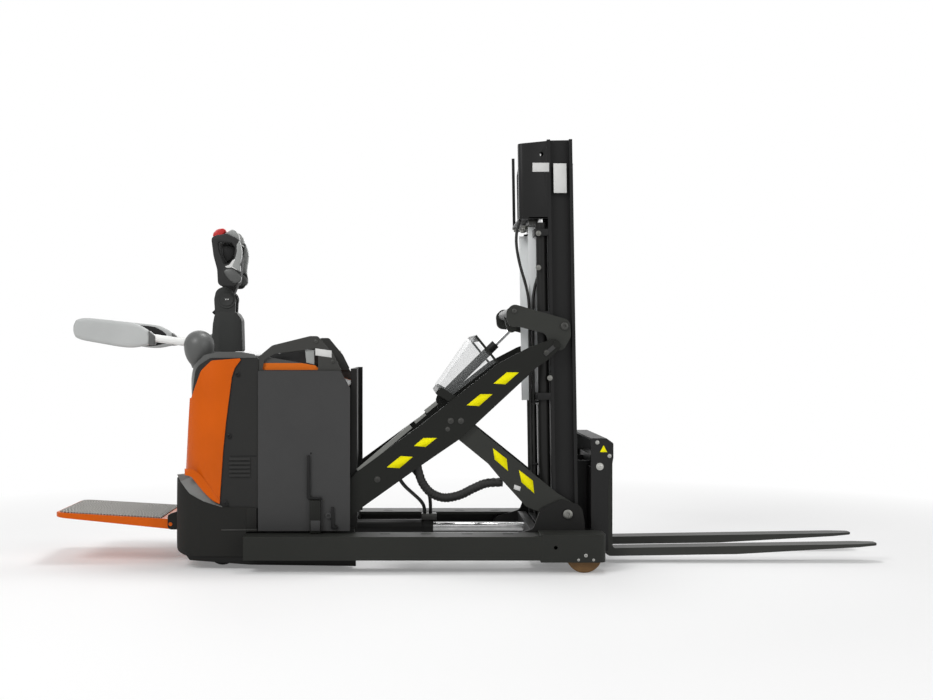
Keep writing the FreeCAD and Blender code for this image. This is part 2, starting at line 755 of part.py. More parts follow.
def outerRail():
    rail = channelRail(railOuterY, railWidth, mastBottomZ, mastTopZ)
    rail = rail.cut(rodY(footX, footZ, pivotPinRadius + runningGap, 200, 400))
    roller = rodY(footX, mastTopZ - 90, mastRollerRadius,
                  innerOuterY - innerWidth / 2 + railWeb / 2 + 2, railOuterY - railWidth / 2)
    return leaned(rail.fuse(roller))


beamRearX = 464.0
beamLowZ = 1486.0
beamHighZ = 1810.0


def crossBeam():
    rear = footX - railHalf
    half = railOuterY
    outer = prism([(beamRearX, -half, 60), (rear - 0.3, -half, 0), (rear - 0.3, half, 0), (beamRearX, half, 60)],
                  "z", beamLowZ, beamHighZ)
    inner = prism([(beamRearX + steel, -half + steel, 52), (rear + 5, -half + steel, 0),
                   (rear + 5, half - steel, 0), (beamRearX + steel, half - steel, 52)],
                  "z", beamLowZ - 5, beamHighZ + 5)
    shape = outer.cut(inner)
    side = prism([(beamRearX - 5, beamLowZ + 18, 0), (beamRearX + 60, beamLowZ, 20), (rear + 5, beamLowZ, 0),
                  (rear + 5, beamHighZ, 0), (beamRearX + 55, beamHighZ, 30), (beamRearX - 5, beamHighZ - 36, 0)],
                 "y", -half - 5, half + 5)
    shape = shape.common(side)
    shape = shape.cut(rodY(585.0, 1760.0, 9, -half - 5, half + 5))
    return leaned(shape)


liftCylinderX = footX - railHalf - 27.0
liftCylinderY = 285.0
liftCylinderRadius = 23.0
tieLowZ = 130.0
tieHighZ = 160.0
strapHeights = (712.0, 1060.0, 1412.0)
strapHeight = 30.0
strapReach = 60.0
strapPlate = 7.0
liftRodRadius = 15.0
liftCylinderTopZ = 1470.0


def mastTies():
    # the foot of the lift cylinders, and straps round them that hold the guard
    rear = footX - railHalf
    ties = [leaned(block(rear - 50, rear, -railOuterY, railOuterY, tieLowZ, tieHighZ))]
    for z in strapHeights:
        outer = block(rear - strapReach, rear, -railOuterY, railOuterY, z, z + strapHeight)
        inner = block(rear - strapReach + strapPlate, rear + 5, -railOuterY + strapPlate,
                      railOuterY - strapPlate, z - 5, z + strapHeight + 5)
        ties.append(leaned(outer.cut(inner)))
    return ties


def liftCylinder():
    barrel = rodZ(liftCylinderX, liftCylinderY, liftCylinderRadius, tieHighZ, liftCylinderTopZ)
    gland = rodZ(liftCylinderX, liftCylinderY, liftCylinderRadius + 3, liftCylinderTopZ - 40, liftCylinderTopZ)
    bore = rodZ(liftCylinderX, liftCylinderY, liftRodRadius + runningGap, tieHighZ + 30, liftCylinderTopZ + 5)
    return leaned(barrel.fuse(gland).cut(bore))


def liftRod():
    return leaned(rodZ(liftCylinderX, liftCylinderY, liftRodRadius, tieHighZ + 36, innerTopZ - 34))


guardLowZ = 689.0
guardHighZ = 1456.0
guardHalf = 237.0
guardDepth = 20.0
guardSheet = 6.0


def mastGuard():
    front = footX - railHalf - strapReach - seatGap
    rear = front - guardDepth
    rows = [(front, -guardHalf, 12), (rear, -guardHalf, 2), (rear, -guardHalf + guardSheet, 2),
            (front - guardSheet, -guardHalf + guardSheet, 6), (front - guardSheet, guardHalf - guardSheet, 6),
            (rear, guardHalf - guardSheet, 2), (rear, guardHalf, 2), (front, guardHalf, 12)]
    return leaned(prism(rows, "z", guardLowZ, guardHighZ))


# Inner mast
innerLowZ = 74.0
innerTopZ = 1806.0
liftRange = 1240.0
innerTie = 10.0
chainYs = (-60.0, 60.0)
chainThickness = 12.0
chainX = footX + railHalf + 26.0
sheaveRadius = 40.0
sheaveX = chainX - chainThickness / 2.0 - seatGap - sheaveRadius
sheaveZ = innerTopZ - 62.0
chainLowZ = 180.0


def innerRail():
    rail = channelRail(innerOuterY, innerWidth, innerLowZ, innerTopZ)
    pieces = [rail]
    for z in (innerLowZ + 60, innerLowZ + 230):
        pieces.append(rodY(footX, z, mastRollerRadius, innerOuterY - innerWidth / 2,
                           railOuterY - railWidth / 2 - railWeb / 2 - 2))
    return leaned(fused(pieces))


def innerTies():
    half = innerOuterY - innerWidth
    rear = footX - railHalf
    top = block(rear, rear + innerTie, -half, half, innerTopZ - 90, innerTopZ)
    pieces = [top]
    for y in chainYs:
        for low in (y - 30, y + 22):
            pieces.append(block(rear + innerTie - 2, sheaveX + 16, low, low + 8, sheaveZ - 16, sheaveZ + 16))
        pieces.append(rodY(sheaveX, sheaveZ, 10, y - 32, y + 32))
        pieces.append(rodY(sheaveX, sheaveZ, sheaveRadius, y - 17, y + 17))
    low = block(rear, rear + innerTie, -half, half, innerLowZ + 400, innerLowZ + 470)
    return [leaned(fused(pieces)), leaned(low)]


def liftHeads():
    # ears of the inner mast that the lift rods push on
    rear = footX - railHalf
    ear = block(liftCylinderX - 24, rear - 6, liftCylinderY - 60, liftCylinderY + 24,
                innerTopZ - 34, innerTopZ - 8)
    root = block(rear - 8, rear, liftCylinderY - 60, innerOuterY, innerTopZ - 34, innerTopZ - 8)
    return leaned(fused([ear, root]))


# Carriage
carriageY = 310.0
carriageRearX = 774.0
# rows: x, z, corner radius
carriageOutline = [
    (774.0, 546.3, 8), (839.9, 546.3, 8), (869.4, 525.0, 10), (869.4, 463.9, 20),
    (846.3, 333.1, 20), (848.0, 66.0, 4), (774.0, 66.0, 10)]


def carriage():
    pieces = []
    plate = prism(carriageOutline, "y", carriageY - 10, carriageY)
    pieces.extend([plate, mirrored(plate)])
    pieces.append(block(carriageRearX, 840, -carriageY + 5, carriageY - 5, 538, 546))
    for y in chainYs:
        pieces.append(block(chainX - 14, carriageRearX + 5, y - 18, y + 18, chainLowZ - 30, chainLowZ - seatGap))
    pieces.append(block(800, 842.7, -carriageY + 5, carriageY - 5, 400, 460))
    pieces.append(block(800, 842.7, -carriageY + 5, carriageY - 5, 66, 116))
    arm = block(footX - 18, 800, 150, 170, 90, 440)
    pieces.extend([arm, mirrored(arm)])
    back = block(774, 800, -carriageY + 5, carriageY - 5, 150, 420)
    pieces.append(back)
    for z in (140.0, 390.0):
        roller = rodY(footX, z, mastRollerRadius, 165, innerOuterY - innerWidth / 2 - railWeb / 2 - 2)
        roller = leaned(roller)
        pieces.extend([roller, mirrored(roller)])
    return fused(pieces)


forkWidth = 100.0
forkThickness = 35.0
forkY = 175.0
forkTipThickness = 10.0
forkTaperX = 1420.0


def fork():
    slope = math.tan(math.radians(mastLean))
    tipX = forkHeelX + forkBladeLength
    shankX = forkHeelX - forkThickness
    bottom = forkTopZ - forkThickness
    rise = (tipX - forkHeelX) * slope
    rows = [(shankX, 470.0, 6), (shankX, bottom, 30), (forkTaperX, bottom + (forkTaperX - forkHeelX) * slope, 400),
            (tipX, forkTopZ + rise - forkTipThickness, 3), (tipX, forkTopZ + rise, 3),
            (forkHeelX, forkTopZ, 14), (forkHeelX, 470.0, 6)]
    blade = prism(rows, "y", forkY - forkWidth / 2, forkY + forkWidth / 2)
    tip = planTip(shankX, tipX)
    return blade.common(tip)


def planTip(rear, tipX):
    low = forkY - forkWidth / 2
    high = forkY + forkWidth / 2
    rows = [(rear - 5, low, 0), (tipX - 90, low, 60), (tipX, low + 22, 24), (tipX, high - 22, 24),
            (tipX - 90, high, 60), (rear - 5, high, 0)]
    return prism(rows, "z", 0, 600)


def chains():
    # each run rises from the carriage and turns over its sheave
    half = chainThickness / 2.0
    runs = []
    for y in chainYs:
        run = block(chainX - half, chainX + half, y - 14, y + 14, chainLowZ, sheaveZ)
        outer = rodY(sheaveX, sheaveZ, chainX + half - sheaveX, y - 14, y + 14)
        inner = rodY(sheaveX, sheaveZ, sheaveRadius + seatGap, y - 20, y + 20)
        upper = block(sheaveX - 100, sheaveX + 100, y - 20, y + 20, sheaveZ, sheaveZ + 100)
        runs.append(leaned(run.fuse(outer.cut(inner).common(upper)).removeSplitter()))
    return runs


# Tilt crank, carried at the long arm's end, its rollers in the outer rails' grooves
crankRollerX = footX - crankRollerHeight * math.sin(math.radians(mastLean))
crankRollerZ = footZ + crankRollerHeight * math.cos(math.radians(mastLean))
crankRollerRadius = 27.0
crankRearT = 1116.6
crankRearN = 198.2
crankTube = 22.0


def tiltCrank():
    pivotX, pivotZ = alongArm(crankPivotT, crankPivotN)
    rearX, rearZ = alongArm(crankRearT, crankRearN)
    rows = [(rearX - 34, rearZ + 4, 30), (rearX - 4, rearZ + 34, 30), (crankRollerX + 30, crankRollerZ + 36, 34),
            (crankRollerX + 34, crankRollerZ - 34, 30), (pivotX + 30, pivotZ - 26, 30),
            (pivotX - 28, pivotZ - 22, 26), (pivotX - 44, pivotZ + 46, 30), (rearX + 30, rearZ - 66, 40),
            (rearX - 28, rearZ - 60, 30)]
    plate = prism(rows, "y", shortArmInnerY, shortArmInnerY + armPlate)
    plate = plate.cut(rodY(pivotX, pivotZ, crankPinRadius + runningGap, 300, 400))
    roller = rodY(crankRollerX, crankRollerZ, crankRollerRadius, webOuterY + 3, railOuterY - 2)
    pin = rodY(crankRollerX, crankRollerZ, 14, railOuterY - 8, shortArmInnerY + 2)
    side = fused([plate, roller, pin])
    tube = rodY(rearX, rearZ, crankTube, -shortArmInnerY - 2, shortArmInnerY + 2)
    eyeX, eyeZ = alongArm(tiltEyeT, tiltEyeN)
    lugRows = [(rearX - 22, rearZ, 0), (rearX + 22, rearZ, 0), (eyeX + 22, eyeZ - 4, 16),
               (eyeX + 6, eyeZ - 24, 16), (eyeX - 20, eyeZ - 14, 16)]
    lugs = []
    for low in (lugGap, -lugGap - lugPlate):
        lugs.append(prism(lugRows, "y", low, low + lugPlate))
    return fused([side, mirrored(side), tube] + lugs)


tiltWay = math.degrees(math.atan2(tiltEyeN - tiltBaseN, tiltEyeT - tiltBaseT)) + armAngle
tiltLength = math.hypot(tiltEyeN - tiltBaseN, tiltEyeT - tiltBaseT)
tiltBarrelLength = 345.0
tiltBarrelRadius = 20.0
tiltRodRadius = 11.0


def alongTilt(distance):
    x, z = alongArm(tiltBaseT, tiltBaseN)
    angle = math.radians(tiltWay)
    return x + distance * math.cos(angle), z + distance * math.sin(angle)


def tiltPipe(radius, start, end):
    x0, z0 = alongTilt(start)
    x1, z1 = alongTilt(end)
    way = Vector(x1 - x0, 0, z1 - z0)
    return Part.makeCylinder(radius, way.Length, Vector(x0, 0, z0), way)


def tiltBarrel():
    x, z = alongTilt(0)
    eye = rodY(x, z, 19, -8, 8).cut(rodY(x, z, 9 + runningGap, -20, 20))
    barrel = tiltPipe(tiltBarrelRadius, 26, tiltBarrelLength)
    neck = tiltPipe(8, 14, 30)
    bore = tiltPipe(tiltRodRadius + runningGap, 60, tiltBarrelLength + 5)
    return fused([eye, barrel, neck]).cut(bore)


def tiltRod():
    x, z = alongTilt(tiltLength)
    eye = rodY(x, z, 17, -8, 8)
    rod = tiltPipe(tiltRodRadius, 200, tiltLength - 10)
    return eye.fuse(rod).removeSplitter()


# Guard over the tilt cylinder, standing on the long arm
portalT = 921.0
portalN = 222.0
panelFootT = 660.0
panelFootN = 148.0


def armGuardFrame():
    # feet lie on the inner faces of the arm plates
    y = longArmInnerY - seatGap
    pieces = []
    # rows: low y, high y, low n, high n
    for low, high, n0, n1 in ((y - 10, y, 30.0, portalN), (-y, -y + 10, 30.0, portalN),
                              (-y, y, portalN - 28, portalN)):
        rows = placed([(portalT, n0, 0), (portalT + 10, n0, 0), (portalT + 10, n1, 0), (portalT, n1, 0)],
                      alongArm)
        pieces.append(prism(rows, "y", low, high))
    portal = fused(pieces)
    wedgeRows = placed([(668, 56, 0), (708, 56, 0), (674, 144, 6), (640, 140, 6)], alongArm)
    wedge = prism(wedgeRows, "y", y - 10, y)
    barRows = placed([(640, 120, 0), (660, 120, 0), (662, 146, 0), (640, 140, 0)], alongArm)
    bar = prism(barRows, "y", -y, y)
    return [portal, fused([wedge, mirrored(wedge), bar])]


def armGuardPanel():
    rows = placed([(panelFootT + 2.3, panelFootN - 2, 0), (portalT - seatGap, portalN - 6, 0),
                   (portalT - seatGap, portalN, 0), (panelFootT + 2.3, panelFootN + 4, 0)], alongArm)
    return prism(rows, "y", -longArmInnerY + 10, longArmInnerY - 10)


# Hoses
conduitRadius = 19.0
# rows: x, y, z
conduitPoints = [
    (26.0, -329.7, 452.0), (38.0, -329.7, 392.0), (62.0, -324.0, 338.0), (106.0, -318.0, 300.0),
    (162.0, -314.0, 290.0), (222.0, -312.0, 306.0), (280.0, -311.0, 338.0), (338.0, -311.0, 360.0),
    (396.0, -311.0, 358.0)]
hoseRadius = 9.0


def roundedPath(points):
    nodes = [Vector(*point) for point in points]
    edges = []
    start = nodes[0]
    radii = []
    for index in range(1, len(nodes) - 1):
        here = nodes[index]
        back = nodes[index - 1] - here
        ahead = nodes[index + 1] - here
        reach = 0.45 * min(back.Length, ahead.Length)
        back.normalize()
        ahead.normalize()
        half = back.getAngle(ahead) / 2.0
        radius = reach * math.tan(half)
        radii.append(round(radius, 1))
        middle = (back + ahead).normalize()
        centre = here + middle * (radius / math.sin(half))
        first = here + back * reach
        last = here + ahead * reach
        edges.append(Part.LineSegment(start, first).toShape())
        edges.append(Part.Arc(first, centre - middle * radius, last).toShape())
        start = last
    edges.append(Part.LineSegment(start, nodes[-1]).toShape())
    return Part.Wire(edges), radii


def hose(points, radius):
    path, radii = roundedPath(points)
    first = Vector(*points[1]) - Vector(*points[0])
    profile = Part.Wire([Part.makeCircle(radius, Vector(*points[0]), first)])
    solid = path.makePipeShell([profile], True, False)
    expected = math.pi * radius * radius * path.Length
    print("hose length", round(path.Length), "radii", radii, "volume share", round(solid.Volume / expected, 3))
    return solid


def main():
    os.makedirs("parts", exist_ok=True)
    saveSides("leg", leg())
    saveSides("load_wheel", loadWheel())
    save("frame", frame())
    save("battery", battery())
    save("battery_sides", bothSides(batterySide()))
    save("guard_plates", bothSides(guardPlate()))
    save("battery_hood", hood())
    save("hood_lid", hoodLid())
    save("tractor_core", tractorCore())
    save("orange_panels", bothSides(orangePanel()))
    save("top_cap", topCap())
    save("skirt", skirt())
    save("drive_unit", driveUnit())
    save("drive_wheel", driveWheel())
    saveSides("caster_fork", casterFork())
    saveSides("caster_wheel", casterWheel())
    save("tiller_column", tillerColumn())
    save("tiller_head", tillerHead())
    save("platform", platform())
    save("platform_mat", platformMatPiece())
    save("gate_housings", bothSides(gateHousing()))
    saveSides("gate", gate())
    saveSides("gate_pad", gatePad())
    save("reach_barrel", reachBarrel())
    save("reach_rod", reachRod())
    saveSides("long_arm", longArm())
    save("long_arm_tubes", [longArmAxle(), longArmTube()])
    saveSides("short_arm", shortArm())
    save("short_arm_tube", shortArmTube())
    save("mast_foot", mastFoot())
    saveSides("outer_rail", outerRail())
    save("mast_crossbeam", crossBeam())
    save("mast_ties", mastTies())
    save("lift_cylinders", bothSides(liftCylinder()))
    save("lift_rods", bothSides(liftRod()))
    save("mast_guard", mastGuard())
    saveSides("inner_rail", innerRail())
    save("inner_ties", innerTies() + bothSides(liftHeads()))
    save("carriage", carriage())
    saveSides("fork", fork())
    save("lift_chains", chains())
    save("tilt_crank", tiltCrank())
    save("tilt_barrel", tiltBarrel())
    save("tilt_rod", tiltRod())
    save("arm_guard_frame", armGuardFrame())
    save("arm_guard_panel", armGuardPanel())
    save("hose_conduit", hose(conduitPoints, conduitRadius))
    print(len(saved), "pieces")


if __name__ == "__main__":
    main()
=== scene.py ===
# Stand-on electric reach stacker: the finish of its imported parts, and the small pieces on them. Metres.
import math

import bpy
from mathutils import Matrix, Vector


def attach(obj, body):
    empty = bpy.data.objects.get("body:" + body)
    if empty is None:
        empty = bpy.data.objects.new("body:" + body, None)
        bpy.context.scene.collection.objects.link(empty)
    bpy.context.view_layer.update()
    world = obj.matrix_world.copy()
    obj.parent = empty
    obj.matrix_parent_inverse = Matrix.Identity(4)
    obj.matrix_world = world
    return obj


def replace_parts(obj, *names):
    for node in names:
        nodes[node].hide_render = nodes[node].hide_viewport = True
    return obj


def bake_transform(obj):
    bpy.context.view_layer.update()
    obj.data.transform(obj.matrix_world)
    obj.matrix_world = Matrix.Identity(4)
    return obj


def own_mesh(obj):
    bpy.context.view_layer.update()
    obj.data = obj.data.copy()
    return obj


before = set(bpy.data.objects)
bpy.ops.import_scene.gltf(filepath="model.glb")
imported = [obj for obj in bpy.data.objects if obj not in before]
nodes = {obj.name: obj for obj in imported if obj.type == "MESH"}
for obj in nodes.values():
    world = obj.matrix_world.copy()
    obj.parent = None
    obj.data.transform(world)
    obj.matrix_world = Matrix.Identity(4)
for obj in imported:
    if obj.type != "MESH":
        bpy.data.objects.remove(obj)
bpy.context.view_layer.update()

datumShift = 0.2495     # the rows below give x from a datum across the legs, the frame's x is this much less


# Selection and finishing, shared by every piece

def editMode():
    bpy.ops.object.mode_set(mode="EDIT")


def objectMode():
    bpy.ops.object.mode_set(mode="OBJECT")


def deselectAll():
    if bpy.context.object and bpy.context.object.mode != "OBJECT":
        objectMode()
    bpy.ops.object.select_all(action="DESELECT")


def startPiece(name):
    piece = bpy.context.object
    piece.name = name
    piece.data.name = name
    return piece


def makeActive(piece):
    deselectAll()
    piece.select_set(True)
    bpy.context.view_layer.objects.active = piece


def modify(piece, kind, **settings):
    makeActive(piece)
    modifier = piece.modifiers.new(kind.title(), kind)
    for key, value in settings.items():
        setattr(modifier, key, value)
    bpy.ops.object.modifier_apply(modifier=modifier.name)


def applyPlace(piece):
    makeActive(piece)
    bpy.ops.object.transform_apply(location=True, rotation=True, scale=True)


def smoothByAngle(piece, degrees=35.0):
    makeActive(piece)
    bpy.ops.object.shade_smooth_by_angle(angle=math.radians(degrees))


def outward(piece):
    makeActive(piece)
    editMode()
    bpy.ops.mesh.select_all(action="SELECT")
    bpy.ops.mesh.remove_doubles(threshold=0.00001)
    bpy.ops.mesh.normals_make_consistent(inside=False)
    objectMode()


def joined(name, pieces):
    deselectAll()
    for piece in pieces:
        piece.select_set(True)
    bpy.context.view_layer.objects.active = pieces[0]
    if len(pieces) > 1:
        bpy.ops.object.join()
    return startPiece(name)


def removePiece(piece):
    bpy.data.objects.remove(piece, do_unlink=True)


def duplicate(piece, name, matrix):
    copy = bpy.data.objects.new(name, piece.data.copy())
    bpy.context.collection.objects.link(copy)
    copy.data.transform(matrix)
    if matrix.determinant() < 0:
        copy.data.flip_normals()
    return copy


def mirrorY(piece, name):
    return duplicate(piece, name, Matrix.Scale(-1, 4, (0, 1, 0)))


def keep(piece, body, finish, degrees=35.0):
    # what every new piece gets once its shape is done. A hose that bends has no body of its own
    applyPlace(piece)
    smoothByAngle(piece, degrees)
    piece.data.materials.clear()
    piece.data.materials.append(finishes[finish])
    if body:
        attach(piece, body)
    return piece


def place(x, y, z):
    return Vector((x / 1000.0 - datumShift, y / 1000.0, z / 1000.0))


# Shader maths: a socket with the usual operators

class Value:
    def __init__(self, finish, socket):
        self.finish = finish
        self.socket = socket

    def math(self, operation, other, swap=False, clamp=False):
        first, second = (other, self) if swap else (self, other)
        settings = {"operation": operation, "use_clamp": clamp}
        return self.finish.value("ShaderNodeMath", settings, {0: first, 1: second})

    def __add__(self, other):
        return self.math("ADD", other)

    def __radd__(self, other):
        return self.math("ADD", other, swap=True)

    def __sub__(self, other):
        return self.math("SUBTRACT", other)

    def __rsub__(self, other):
        return self.math("SUBTRACT", other, swap=True)

    def __mul__(self, other):
        return self.math("MULTIPLY", other)

    def __rmul__(self, other):
        return self.math("MULTIPLY", other, swap=True)

    def __gt__(self, other):
        return self.math("GREATER_THAN", other)

    def __lt__(self, other):
        return self.math("LESS_THAN", other)

    def power(self, other):
        return self.math("POWER", other)

    def clamped(self):
        return self.math("ADD", 0.0, clamp=True)

    def ramp(self, low, high):
        # 0 below low, 1 above high, straight between
        span = self.finish.node("ShaderNodeMapRange", {"clamp": True},
                                {"Value": self, "From Min": low, "From Max": high})
        return Value(self.finish, span.outputs["Result"])


class Finish:
    def __init__(self, name):
        self.material = bpy.data.materials.new(name)
        self.material.use_nodes = True
        self.tree = self.material.node_tree
        self.tree.nodes.clear()
        self.output = self.node("ShaderNodeOutputMaterial")
        self.shader = self.node("ShaderNodeBsdfPrincipled")
        self.tree.links.new(self.shader.outputs[0], self.output.inputs["Surface"])
        self.coordinates = self.node("ShaderNodeTexCoord").outputs["Object"]

    def node(self, kind, settings=None, values=None):
        node = self.tree.nodes.new(kind)
        for key, value in (settings or {}).items():
            setattr(node, key, value)
        for key, value in (values or {}).items():
            self.put(node, key, value)
        return node

    def put(self, node, key, value):
        if isinstance(value, Value):
            value = value.socket
        if isinstance(value, bpy.types.NodeSocket):
            self.tree.links.new(value, node.inputs[key])
        elif node.inputs[key].type == "RGBA":
            node.inputs[key].default_value = (*value, 1.0)
        else:
            node.inputs[key].default_value = value

    def set(self, **values):
        names = {"colour": "Base Color", "roughness": "Roughness", "metallic": "Metallic", "normal": "Normal",
                 "coat": "Coat Weight", "coatRoughness": "Coat Roughness", "alpha": "Alpha",
                 "specular": "Specular IOR Level"}
        for key, value in values.items():
            self.put(self.shader, names[key], value)

    def value(self, kind, settings, values, output=0):
        return Value(self, self.node(kind, settings, values).outputs[output])

    def axis(self, index, source=None):
        split = self.node("ShaderNodeSeparateXYZ", None, {0: source or self.coordinates})
        return Value(self, split.outputs[index])

    def stretched(self, scale):
        return self.node("ShaderNodeMapping", None, {"Vector": self.coordinates, "Scale": scale}).outputs[0]

    def noise(self, scale, detail=3.0, roughness=0.55, source=None):
        return self.value("ShaderNodeTexNoise", None, {
            "Vector": source or self.coordinates, "Scale": scale, "Detail": detail, "Roughness": roughness})

    def mix(self, factor, first, second):
        mixer = self.node("ShaderNodeMix", {"data_type": "RGBA"}, {0: factor, 6: first, 7: second})
        return mixer.outputs[2]

    def roundEdges(self, radius):
        return self.node("ShaderNodeBevel", {"samples": 4}, {"Radius": radius}).outputs[0]

    def paintedEdgeHighlight(self, radius):
        # painted highlight: a mask near the edges, where the rounded normal turns away from the flat one
        flat = self.node("ShaderNodeNewGeometry").outputs["Normal"]
        dot = self.value("ShaderNodeVectorMath", {"operation": "DOT_PRODUCT"},
                         {0: self.roundEdges(radius), 1: flat}, "Value")
        return ((1.0 - dot) * 6.0).clamped()

    def bump(self, height, distance, strength=1.0, normal=None):
        values = {"Height": height, "Distance": distance, "Strength": strength}
        if normal:
            values["Normal"] = normal
        return self.node("ShaderNodeBump", None, values).outputs[0]


def shade(red, green, blue):
    # a colour as it is seen on a screen, 0 to 255, as the shader wants it
    return tuple(((part / 255.0 + 0.055) / 1.055) ** 2.4 if part > 10 else part / 255.0 / 12.92
                 for part in (red, green, blue))


def lighter(colour, factor):
    return tuple(min(1.0, part * factor) for part in colour)


# Finishes

paints = {
    # name: colour, roughness, painted highlight on edges (how much lighter), texture per metre, its height in
    # mm, coat, specular
    "legPaint": ((36, 37, 34), 0.5, 2.2, 900.0, 0.06, 0.04, 0.17),
    "blackPaint": ((24, 24, 23), 0.5, 1.8, 900.0, 0.06, 0.04, 0.17),
    "armPaint": ((22, 23, 20), 0.46, 2.0, 900.0, 0.06, 0.04, 0.17),
    "shortArmPaint": ((48, 49, 46), 0.46, 2.0, 900.0, 0.06, 0.04, 0.17),
    "mastPaint": ((26, 26, 26), 0.48, 2.2, 900.0, 0.06, 0.04, 0.17),
    "panelPaint": ((62, 62, 62), 0.62, 1.6, 1400.0, 0.12, 0.0, 0.2),
    "guardPaint": ((60, 60, 58), 0.58, 1.6, 1400.0, 0.1, 0.0, 0.2),
    "sidePaint": ((38, 38, 37), 0.6, 1.6, 1400.0, 0.1, 0.0, 0.2),
    "carriagePaint": ((30, 30, 30), 0.48, 1.9, 900.0, 0.06, 0.04, 0.17),
    "forkPaint": ((52, 53, 50), 0.46, 2.0, 700.0, 0.08, 0.04, 0.17),
    "hubPaint": ((82, 83, 82), 0.42, 1.12, 1400.0, 0.08, 0.1, 0.4),
    "columnPaint": ((52, 53, 52), 0.55, 1.5, 1400.0, 0.1, 0.0, 0.2),
    "skirtPaint": ((28, 28, 26), 0.66, 1.7, 800.0, 0.3, 0.0, 0.2),
    "whitePaint": ((226, 226, 224), 0.38, 1.0, 1200.0, 0.05, 0.2, 0.4),
    "labelWhite": ((214, 214, 212), 0.55, 1.0, 1600.0, 0.03, 0.0, 0.3),
    "orangePaint": ((206, 90, 4), 0.42, 1.06, 600.0, 0.06, 0.08, 0.12),
    "capPlastic": ((74, 75, 74), 0.36, 1.2, 900.0, 0.06, 0.25, 0.4),
    "palePlastic": ((150, 152, 150), 0.4, 1.1, 1400.0, 0.08, 0.1, 0.4),
    "redPlastic": ((196, 12, 10), 0.32, 1.1, 1400.0, 0.05, 0.4, 0.4),
    "yellowMark": ((252, 240, 4), 0.5, 1.0, 1400.0, 0.03, 0.0, 0.1),
    # the skirt's ledge, far lighter than the skirt: painted light for the light on its upward face
    "ledgePaintedLight": ((112, 113, 111), 0.5, 1.1, 900.0, 0.1, 0.0, 0.3),
    "coverPlastic": ((116, 117, 113), 0.4, 1.2, 900.0, 0.1, 0.1, 0.4),
    "lockPaint": ((24, 24, 24), 0.5, 2.0, 1400.0, 0.08, 0.04, 0.17),
}


metals = {
    # name: colour, roughness, axis that the lines follow
    "steel": ((122, 122, 118), 0.42, 0), "rodChrome": ((214, 214, 214), 0.18, 0),
    "zinc": ((172, 172, 168), 0.42, 1), "darkSteel": ((74, 74, 72), 0.45, 2),
}
rubbers = {
    # name: colour, texture per metre, roughness, share of dust
    "rubber": ((34, 34, 33), 500.0, 0.7, 0.5), "hose": ((36, 36, 35), 900.0, 0.5, 0.5),
    "tyre": ((112, 84, 52), 160.0, 0.55, 0.3), "blackTyre": ((40, 40, 40), 160.0, 0.6, 0.5),
    "gripFoam": ((36, 36, 36), 1200.0, 0.6, 0.2),
}


def paint(name):
    onScreen, roughness, edge, scale, height, coat, specular = paints[name]
    colour = shade(*onScreen)
    finish = Finish(name)
    grain = finish.noise(scale, 2.0)
    patches = finish.noise(3.5, 4.0)
    # painted highlight along the edges, broken into patches by noise, lightens the colour there
    edgeHighlight = finish.paintedEdgeHighlight(0.0025) * finish.noise(60.0, 3.0).ramp(0.35, 0.62)
    base = finish.mix(patches.ramp(0.3, 0.7), lighter(colour, 0.92), lighter(colour, 1.08))
    finish.set(colour=finish.mix(edgeHighlight * 0.7, base, lighter(colour, edge)), coat=coat, specular=specular,
               roughness=(patches - 0.5) * 0.14 + (grain - 0.5) * 0.08 + roughness, coatRoughness=0.25,
               normal=finish.bump(grain, height / 1000.0, 1.0, finish.roundEdges(0.002)))
    return finish.material


def brushedMetal(name, onScreen, roughness, axis):
    # fine turned or drawn lines along one axis, with dull patches
    colour, scale = shade(*onScreen), 220.0
    finish = Finish(name)
    stretch = [scale, scale, scale]
    stretch[axis] = scale / 40.0
    lines = finish.noise(1.0, 4.0, 0.6, finish.stretched(tuple(stretch)))
    dull = finish.noise(18.0, 4.0)
    finish.set(metallic=1.0, colour=finish.mix(dull.ramp(0.35, 0.7), colour, lighter(colour, 0.78)),
               roughness=(lines - 0.5) * 0.25 + dull * 0.1 + roughness - 0.05,
               normal=finish.bump(lines, 0.00005, 1.0, finish.roundEdges(0.001)))
    return finish.material


def rubber(name, onScreen, scale, roughness, dust):
    colour = shade(*onScreen)
    finish = Finish(name)
    grain = finish.noise(scale, 3.0)
    worn = finish.noise(22.0, 4.0).ramp(0.45, 0.8)
    finish.set(colour=finish.mix(worn * dust, colour, lighter(colour, 1.9)),
               roughness=grain * 0.2 + roughness - 0.1,
               normal=finish.bump(grain, 0.0002, 0.8, finish.roundEdges(0.002)), specular=0.25)
    return finish.material


def foam(name, colour):
    # moulded foam with a fine skin, a little darker where hands rest
    finish = Finish(name)
    grain = finish.noise(1500.0, 3.0)
    soft = finish.noise(5.0, 3.0)
    finish.set(colour=finish.mix(soft.ramp(0.3, 0.75), colour, lighter(colour, 0.88)),
               roughness=(grain - 0.5) * 0.2 + 0.55, normal=finish.bump(grain, 0.0001, 0.6), specular=0.35)
    return finish.material


def clearSheet(name, tint, share, roughness=0.1):
    # clear plastic seen as a faint veil, a little denser in streaks
    finish = Finish(name)
    haze = finish.noise(2.0, 2.0)
    finish.set(colour=tint, alpha=haze * 0.05 + share, roughness=haze * 0.1 + roughness, specular=0.3)
    return finish.material


def hoodPaint(name):
    # orange along the sides, grey over the top
    finish = Finish(name)
    grain = finish.noise(1200.0, 2.0)
    out = finish.axis(1)
    side = ((out * out) > 0.36 * 0.36) * (finish.axis(2) < 0.868)
    colour = finish.mix(side, shade(72, 72, 71), shade(212, 104, 12))
    finish.set(colour=colour, roughness=(grain - 0.5) * 0.1 + 0.5, specular=0.25,
               normal=finish.bump(grain, 0.00008, 1.0, finish.roundEdges(0.002)))
    return finish.material


